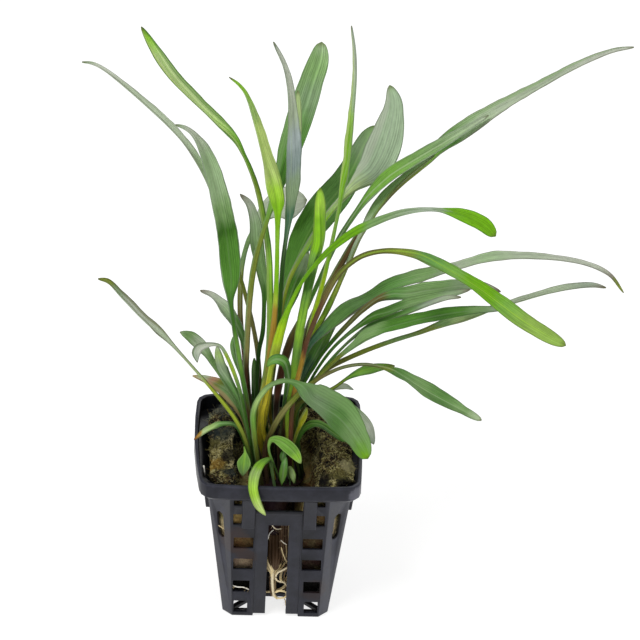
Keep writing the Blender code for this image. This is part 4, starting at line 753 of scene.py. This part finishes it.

# Patches on the wool: x, y, z and size (mm), colour and strength
# The black and black-brown patches are painted shade: in the cleft round the rootstock, in gaps on top, along the
# front of the rim and low in the pot.
WOOL_PATCHES = (
    (-22.5, -11, 57.5, 4.5, "orange", 0.45), (-17.5, 6, 56, 6, "wet", 0.85), (-20, 19, 58, 5, "slate", 0.75),
    (-24.3, 15.5, 57, 3, "stone", 0.8), (-22.5, 29, 58, 4, "black", 0.9), (-16.3, -14.5, 57.8, 4.2, "wet", 0.8),
    (-13.5, -5, 52, 6.5, "black", 0.9), (-16, -5, 56.5, 4.5, "black", 0.85),
    (-15.5, 12, 55, 6, "black", 0.9), (13.5, -4, 57, 2.4, "black", 0.9), (14.8, -16.5, 55.5, 3.4, "black_brown", 0.9),
    (23.5, -9, 57, 4.5, "straw", 0.55), (6.3, -8, 54, 3.5, "rust", 0.6), (8.5, 3.5, 44.6, 5, "tan", 0.7),
    (22.5, -19.5, 57.5, 5, "black", 0.9), (14.6, -20, 57.8, 3.6, "black", 0.85),
    (-23, 1, 57, 4, "wool_olive", 0.7), (20, -15, 57, 3.5, "wool_olive", 0.5),
    (0, -5, 45, 10, "black", 0.95), (0, 10, 49, 9, "black", 0.9),
    (-8, -20, 48, 6, "black", 0.8), (6, -21, 49, 4, "wool_tan", 0.7),
    (-11.5, -20, 33, 6, "brown", 0.8), (11.5, -20, 33, 6, "dark_brown", 0.85),
    (-11.5, -18.5, 23, 5, "hemp", 0.75), (11.5, -18.5, 23, 5.5, "purple", 0.9),
    (-14, -22, 43.5, 3.5, "tan", 0.7), (14, -22, 43.5, 3.5, "brown", 0.7),
    (14, -19, 48, 3, "purple", 0.9), (5.3, -20.5, 48, 2.8, "tan", 0.7),
    (-19.4, -16.6, 36, 5.5, "cream", 0.8), (19.1, -16.9, 35.9, 5.5, "cream", 0.85),
    (0, -4, 30, 9, "purple", 0.9), (5, -8, 33, 6, "olive_brown", 0.7),
    (0, -3, 14, 9, "black", 0.9), (-11.5, -17, 11, 6, "black", 0.95), (11.5, -17, 11, 6, "black", 0.95),
)


def remeshed(node, voxel):
    """A node's skin made of even faces of a size (mm)."""
    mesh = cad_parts[node].data.copy()
    mesh = shaped(mesh, ("REMESH", dict(mode="VOXEL", voxel_size=voxel * MM, adaptivity=0.0)))
    mesh.update()
    return mesh


def wool_finish(name, threads_only=False):
    """Grains of brown, olive and tan with dark pits; rustier down in the pot; black patches and black near its foot
    are painted shade.
    """
    f = Finish(name)
    place = f.place()
    lumps = f.cloud(place, 230.0, 4.0, 0.7)
    grains = f.cloud(place, 950.0, 4.0, 0.75)
    patches = f.cloud(place, 75.0, 2.0, 0.5)
    tones = ".45 black .478 wool_brown .51 wool_olive .545 wool_tan .59 straw"
    if threads_only:
        tint, share = f.carried("tint")[:2]
        mix = 0.36 + tint * 0.22 + share * 0.05 + (lumps - 0.5) * 0.3
    else:
        mix = lumps * 0.38 + grains * 0.36 + patches * 0.26
    colour = f.node("ShaderNodeValToRGB", {"stops": stops(tones)}, {0: mix})
    specks = f.cloud(place, 1600.0, 2.0, 0.6)
    colour = f.blend(colour, paint("black"), f.between(specks, 0.49, 0.4) * 0.85)
    colour = f.blend(colour, paint("straw"), f.between(specks, 0.58, 0.66) * 0.5)
    high = f.height(place)
    rusty = f.lit(f.blend(paint("rust"), paint("wool_tan"), f.between(lumps, 0.4, 0.6)), 0.5 + grains)
    colour = f.blend(colour, rusty, f.between(high, *RUSTY) * 0.65)
    for x, y, z, size, tone, share in WOOL_PATCHES:
        grainy = f.lit(paint(tone), 0.4 + grains * 1.2)
        colour = f.blend(colour, grainy, near(f, place, (x, y, z), size, lumps) * share)
    # painted shade: the wool goes black low in the pot
    colour = f.blend(colour, paint("black"), f.between(high, *FOOT_SHADE) * 0.9)
    f.feed(Base_Color=colour, Roughness=0.92, Normal=f.raised(grains * 0.8 + lumps, 0.0011, 1.0),
           Specular_IOR_Level=0.15)
    return f.material


def add_wool():
    """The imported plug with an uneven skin, more so on top, and the moss on it."""
    mesh = remeshed("wool", WOOL_FACES)
    normals = [v.normal.copy() for v in mesh.vertices]
    for v, n in zip(mesh.vertices, normals):
        top = min(1.0, max(0.0, (v.co.z - UNEVEN_FROM) / UNEVEN_OVER))
        rough = noise.fractal(v.co * 240, 0.9, 2.1, 4)
        lumps = noise.noise(v.co * 95)
        pits = abs(noise.noise(v.co * 560))
        move = rough * 0.85 + lumps * 0.8 + pits * 0.9 - 0.3
        v.co += n * (move * (0.42 + 0.75 * top) - 0.15 - 0.75 * top) * MM
    grown("wool_plug", mesh, wool_finish("mossy_wool"), "wool")
    add_moss(mesh)


def in_cleft(place, half):
    """Whether a place (mm) is in the wool's cleft round the rootstock."""
    return abs(place[0] + 1) < half and place[2] < 50


def add_moss(wool):
    """Short tufts of moss on the wool, longer pale fibres over it, and loose ends in the pot's openings."""
    chance = random.Random(11)
    wool.update()
    tops, deeper = [], []
    for v in wool.vertices:
        if v.co.z > MOSSY and v.normal.z > -0.2:
            tops.append((np.array(v.co) / MM, np.array(v.normal)))
        elif OPENINGS[0] < v.co.z < OPENINGS[1] and abs(v.normal.z) < 0.5:
            deeper.append((np.array(v.co) / MM, np.array(v.normal)))
    lines, tints = [], []
    for _ in range(TUFTS):
        start, normal = tops[chance.randrange(len(tops))]
        patch = noise.noise(Vector(start) * 0.21)
        if patch < chance.uniform(-0.6, 0.35) or in_cleft(start, 11):
            continue
        aside = np.array([chance.gauss(0, 1) for _ in range(3)])
        way = unit(normal * 0.7 + aside * 0.5 + np.array((0, 0, 0.35)))
        long, thick = chance.uniform(0.5, 1.7), chance.uniform(0.06, 0.15)
        t = np.linspace(0, 1, 4)[:, None]
        bend = aside[None] * t ** 2 * long * 0.35
        places = start + way * (t * long - 0.25) + bend
        lines.append(np.column_stack([places, thick * (1.05 - t[:, 0] * 0.8)]))
        tints.append(min(1.0, max(0.0, 0.5 + patch * 0.5 + chance.gauss(0, 0.25))))
    for k in range(FIBRES):
        pool = tops if k < TOP_FIBRES else deeper
        start, normal = pool[chance.randrange(len(pool))]
        if k < TOP_FIBRES and in_cleft(start, 10):
            continue
        flat = unit(np.cross(normal, [chance.gauss(0, 1) for _ in range(3)]))
        over = unit(np.cross(normal, flat))
        long, curl = chance.uniform(2.0, 6.5), chance.uniform(-0.5, 0.5)
        t = np.linspace(-0.5, 0.5, 7)[:, None]
        places = start + normal * (0.25 - t ** 2 * 0.8) + flat * t * long + over * curl * long * t ** 2
        lines.append(np.column_stack([places, chance.uniform(0.05, 0.1) * (1.1 - 1.3 * abs(t[:, 0]))]))
        tints.append(chance.choice((0.05, 0.9, 1.0, 1.0) if k < TOP_FIBRES else (0.1, 0.75, 0.9)))
    mesh = threads("moss_tufts", lines, tints)
    grown("moss_tufts", mesh, wool_finish("moss_threads", True), None)


def stock_finish():
    """Dark purple skin, mottled with brown."""
    f = Finish("rootstock_skin")
    place = f.place()
    mottle = f.cloud(place, 240.0, 4.0, 0.6)
    colour = f.blend(paint("purple"), paint("dark_brown"), f.between(mottle, 0.4, 0.7))
    f.feed(Base_Color=colour, Roughness=0.6, Normal=f.raised(mottle, 0.0006, 0.9), Specular_IOR_Level=0.2)
    return f.material


def add_rootstock():
    """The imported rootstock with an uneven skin."""
    mesh = remeshed("crown", CROWN_FACES)
    for v, n in zip(mesh.vertices, [v.normal.copy() for v in mesh.vertices]):
        v.co += n * (noise.fractal(v.co * 420, 0.9, 2.0, 3) * 0.28 - 0.05) * MM
    grown("rootstock", mesh, stock_finish(), "crown")


def root_finish(name, thin=False, colour="cream"):
    """Pale roots mottled with tan; thin ones go from brown to white."""
    f = Finish(name)
    place = f.place()
    mottle = f.cloud(place, 300.0, 4.0, 0.6)
    tone = f.blend(paint(colour), paint("orange"), f.between(mottle, 0.5, 0.8) * (0.0 if colour == "white" else 0.5))
    if thin:
        tint = f.carried("tint")[0]
        dark = f.blend(f.lit(paint("brown"), 0.5), f.lit(paint("brown"), 0.85), f.between(tint, 0.05, 0.3))
        tone = f.blend(dark, tone, f.between(tint, 0.28, 0.85))
        tone = f.blend(tone, paint("white"), f.between(tint, 1.0, 1.4))
    f.feed(Base_Color=tone, Roughness=0.6, Normal=f.raised(mottle, 0.0003, 0.8), Specular_IOR_Level=0.25)
    return f.material


# Thin roots: half thickness (mm), tint from dark (0) to white (1.4), then pixels of the photograph with
# their distance behind the pot's axis (mm)
ROOTLETS = (
    (0.3, 1.3, (233, 520, -20.8), (238, 524, -21.4), (243, 527, -22.6), (249, 530.5, -22.9)),
    (0.22, 0.9, (218, 526, -19.6), (221, 528, -20.2), (225, 531, -20.8)),
    (0.26, 1.4, (230, 586, -18.8), (236, 588.5, -19.5), (243, 589, -19.6), (249, 591.5, -19.2)),
    (0.2, 1.2, (271.5, 525.5, -20.5), (274, 528.5, -20.2), (277, 530, -19.8), (282, 529.5, -19)),
    (0.22, 1.4, (267.8, 540, -19.5), (268.5, 536.5, -19.8), (270.5, 533, -19.6), (274, 530.5, -19.2)),
    (0.2, 1.3, (280.5, 541, -18.5), (283, 543.5, -19.2), (287, 546, -19.4)),
    (0.24, 0.75, (281, 548, -17.6), (282.5, 554, -18), (285, 560, -17.8), (287, 564, -17.4)),
    (0.26, 0.5, (286, 545, -17.6), (286.4, 551, -17.8), (286, 559, -17.4)),
    (0.5, 0.95, (268, 562, -16), (269.5, 567, -16.6), (272.5, 572, -16.8), (273, 578, -16.8)),
    (0.5, 0.7, (275.5, 563, -15.6), (275, 568, -16), (274, 573, -16.4), (272.5, 578, -16.6)),
    (0.42, 0.8, (281, 564, -15.4), (278.5, 569, -16), (275.5, 573, -16.4), (273.5, 577, -16.6)),
    (0.36, 0.6, (285.5, 563, -15.2), (282, 568.5, -15.8), (278, 572, -16), (275, 576, -16.2)),
    (0.62, 1.15, (273.2, 570, -17), (272, 577, -17.4), (271.8, 584, -17.4), (272.4, 591, -17.2), (273.6, 599, -16.8)),
    (0.42, 0.35, (270.5, 571, -16.2), (269.8, 580, -16.4), (270, 589, -16.2), (271.3, 598, -15.8)),
    (0.3, 0.45, (274.5, 582, -16), (275, 589, -16), (274.6, 596, -15.8)),
    (0.36, 1.15, (287.5, 569, -16.6), (283, 571.5, -17.2), (278, 574, -17.6), (275.4, 578, -17.8),
     (276.6, 582, -17.6), (280, 583.4, -17.4), (283.6, 584, -17), (287, 588.5, -16.6)),
    (0.3, 0.4, (285, 573, -15.2), (284, 579, -15.6), (285.5, 585, -15.6), (284.6, 592, -15.2)),
    (0.42, 0.9, (274.5, 594.5, -16.6), (278, 592.8, -16.9), (283, 593, -16.9), (286.2, 594.8, -16.6),
     (285.8, 598.4, -16.4), (281, 600.2, -16.4), (275.5, 599.6, -16.4), (274.2, 596.4, -16.4)),
    (0.2, 0.6, (284, 600, -16.4), (285.2, 604, -16.8), (285.6, 609, -17.2)),
    (0.42, 0.12, (283.5, 523, -17), (283, 538, -17.4), (283.6, 549, -17.4), (284.6, 561, -17)),
    (0.42, 0.08, (285.6, 523, -16.8), (285.2, 537, -17), (285.8, 548, -17), (286.6, 562, -16.6)),
    (0.38, 0.2, (281.8, 524, -16.8), (281.2, 541, -17), (281.8, 551, -17), (283, 563, -16.6)),
    (0.34, 0.05, (280, 528, -16.4), (279.6, 544, -16.6), (280.6, 554, -16.4), (281.6, 565, -16)),
    (0.4, 0.12, (287.2, 524, -16.6), (287, 541, -16.8), (287.6, 552, -16.8), (288, 564, -16.4)),
    (0.9, 0.05, (273.5, 536, -12), (273, 556, -16.6), (273.2, 563, -17.8), (272.8, 570, -17.6)),
    (0.9, 0.02, (277, 536, -12), (276.4, 556, -16.6), (276, 563, -17.8), (274.6, 571, -17.6)),
    (0.8, 0.08, (280, 536, -12), (279, 557, -16.4), (278, 564, -17.6), (276, 571, -17.4)),
    (0.8, 0.04, (270.6, 536, -12), (269.6, 557, -16.4), (270.4, 564, -17.4), (271.6, 571, -17.2)),
    (0.62, 1, (266.5, 560, -16.4), (268, 565, -17.4), (270, 569.5, -17.8), (272, 575, -17.8)),
    (0.55, 0.85, (265.6, 565, -16.4), (267.6, 569.5, -17.2), (270, 573, -17.6), (271.6, 579, -17.6)),
    (0.5, 0.7, (267.5, 558, -16.2), (269.6, 563.5, -17.2), (271.6, 568, -17.8), (273, 574, -17.8)),
    (0.55, 0.3, (262, 568.5, -14.6), (268, 569.5, -14.8), (275, 569, -14.8), (282, 570, -14.8), (290, 569.5, -14.6)),
    (0.5, 0.4, (262, 571.5, -14.8), (269, 572, -15), (276, 571.5, -15.2), (283, 572.5, -15), (290, 571.5, -14.8)),
    (0.5, 0.2, (263, 566, -14.6), (270, 566.5, -14.8), (277, 566, -14.8), (284, 567, -14.8), (290, 566.4, -14.6)),
)


def add_rootlets():
    """Thin roots that wind through the slot and the holes, with root hairs along them."""
    chance = random.Random(5)
    lines, tints = [], []
    for half, tint, *places in ROOTLETS:
        rows = [(*seen_at(*place), half * (1.0 - 0.35 * k / len(places))) for k, place in enumerate(places)]
        line = smooth_rows(np.array(rows), 0.45)
        line[[0, -1], 3] *= 0.4
        lines.append(line)
        tints.append(tint)
        for _ in range(int(len(line) * 1.1)):
            start = line[chance.randrange(len(line))]
            way = unit(np.array([chance.gauss(0, 1) for _ in range(3)]))
            t = np.linspace(0, 1, 3)[:, None]
            hair = start[:3] + way * t * chance.uniform(0.5, 1.3) + np.array((0, 0, -0.3)) * t ** 2
            lines.append(np.column_stack([hair, 0.04 * (1.2 - t[:, 0])]))
            tints.append(chance.uniform(0.2, 0.8))
    mesh = threads("root_hairs", lines, tints, 5)
    grown("root_hairs", mesh, root_finish("thin_roots", True), None)
    stub = ((203.3, 466, -14, 0.3), (204, 471, -14.2, 0.28), (205, 476.5, -14.4, 0.2))
    mesh = threads("pale_stub", [np.array([(*seen_at(*place), half) for *place, half in stub])], [1.0], 6)
    grown("pale_stub", mesh, root_finish("white_stub", True, "white"), None)


def add_roots():
    """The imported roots, made round."""
    material = root_finish("tan_roots")
    for node in sorted(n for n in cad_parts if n.startswith("root_")):
        mesh = shaped(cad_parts[node].data.copy(), ("WELD", {"merge_threshold": WELD_GAP}),
                      ("SUBSURF", {"levels": 2, "render_levels": 2}))
        grown(node.replace("root_", "rootlet_"), mesh, material, node)


# ---- The stage ----

FLOOR_HALF, FLOOR_HEIGHT = 20.0, -0.0002  # (m)
PLANT_MIDDLE = Vector((0.02, 0.0, 0.1))  # what the lights point at


def add_camera():
    """The camera at the photograph's angle; the picture's middle is worked out from the pot's foot."""
    target = Vector(seen_at(IMAGE_SIDE / 2, IMAGE_SIDE / 2, 0)) * MM
    back, level = Vector(TOWARDS), Vector(RIGHTWARD)
    side = level * math.cos(ROLL) + back.cross(level) * math.sin(ROLL)
    camera = placed("camera", bpy.data.cameras.new("camera"))
    turned = Matrix((side, back.cross(side), back)).transposed().to_4x4()
    camera.matrix_world = Matrix.Translation(target + back * CAMERA_FAR * MM) @ turned
    camera.data.sensor_width = SENSOR
    camera.data.lens = SENSOR * CAMERA_FAR * PIXELS_PER_MM / IMAGE_SIDE
    camera.data.clip_start, camera.data.clip_end = 0.1, 60.0
    bpy.context.scene.camera = camera


def add_light(name, place, size, power):
    """A round lamp (m, W) that points at the plant."""
    light = placed(name, bpy.data.lights.new(name, "AREA"))
    light.data.shape, light.data.size = "DISK", size
    light.data.energy = power
    light.location = place
    light.rotation_euler = (PLANT_MIDDLE - light.location).to_track_quat("-Z", "Y").to_euler()


def add_stage():
    """A wide white floor under soft light from all round, stronger from the upper left."""
    corners = [(x * FLOOR_HALF, y * FLOOR_HALF, 0) for x, y in ((-1, -1), (1, -1), (1, 1), (-1, 1))]
    floor = skin("floor", corners, [(0, 1, 2, 3)], False)
    f = Finish("white_floor")
    speckle = f.cloud(f.place(), 3.0, 2.0)
    f.feed(Base_Color=f.blend((0.33, 0.33, 0.33, 1), (0.35, 0.35, 0.35, 1), speckle), Roughness=0.9,
           Specular_IOR_Level=0.1, Emission_Color=(1, 1, 1, 1), Emission_Strength=0.78)
    floor.materials.append(f.material)
    thing = placed("floor", floor)
    thing.location.z = FLOOR_HEIGHT
    world = bpy.data.worlds.new("studio")
    world.use_nodes = True
    sky = world.node_tree.nodes["Background"].inputs
    sky["Color"].default_value, sky["Strength"].default_value = (1, 1, 1, 1), 0.45
    bpy.context.scene.world = world
    add_light("key", (-0.7, -0.8, 1.9), 0.8, 22)
    add_light("fill", (1.3, -0.9, 0.9), 1.2, 4)
    add_light("rim", (0.4, 1.4, 1.3), 1.0, 6)
    bpy.context.scene.view_settings.view_transform = "Standard"


add_camera()
add_pot()
add_wool()
add_rootstock()
add_roots()
add_rootlets()
add_leaves()
add_stage()
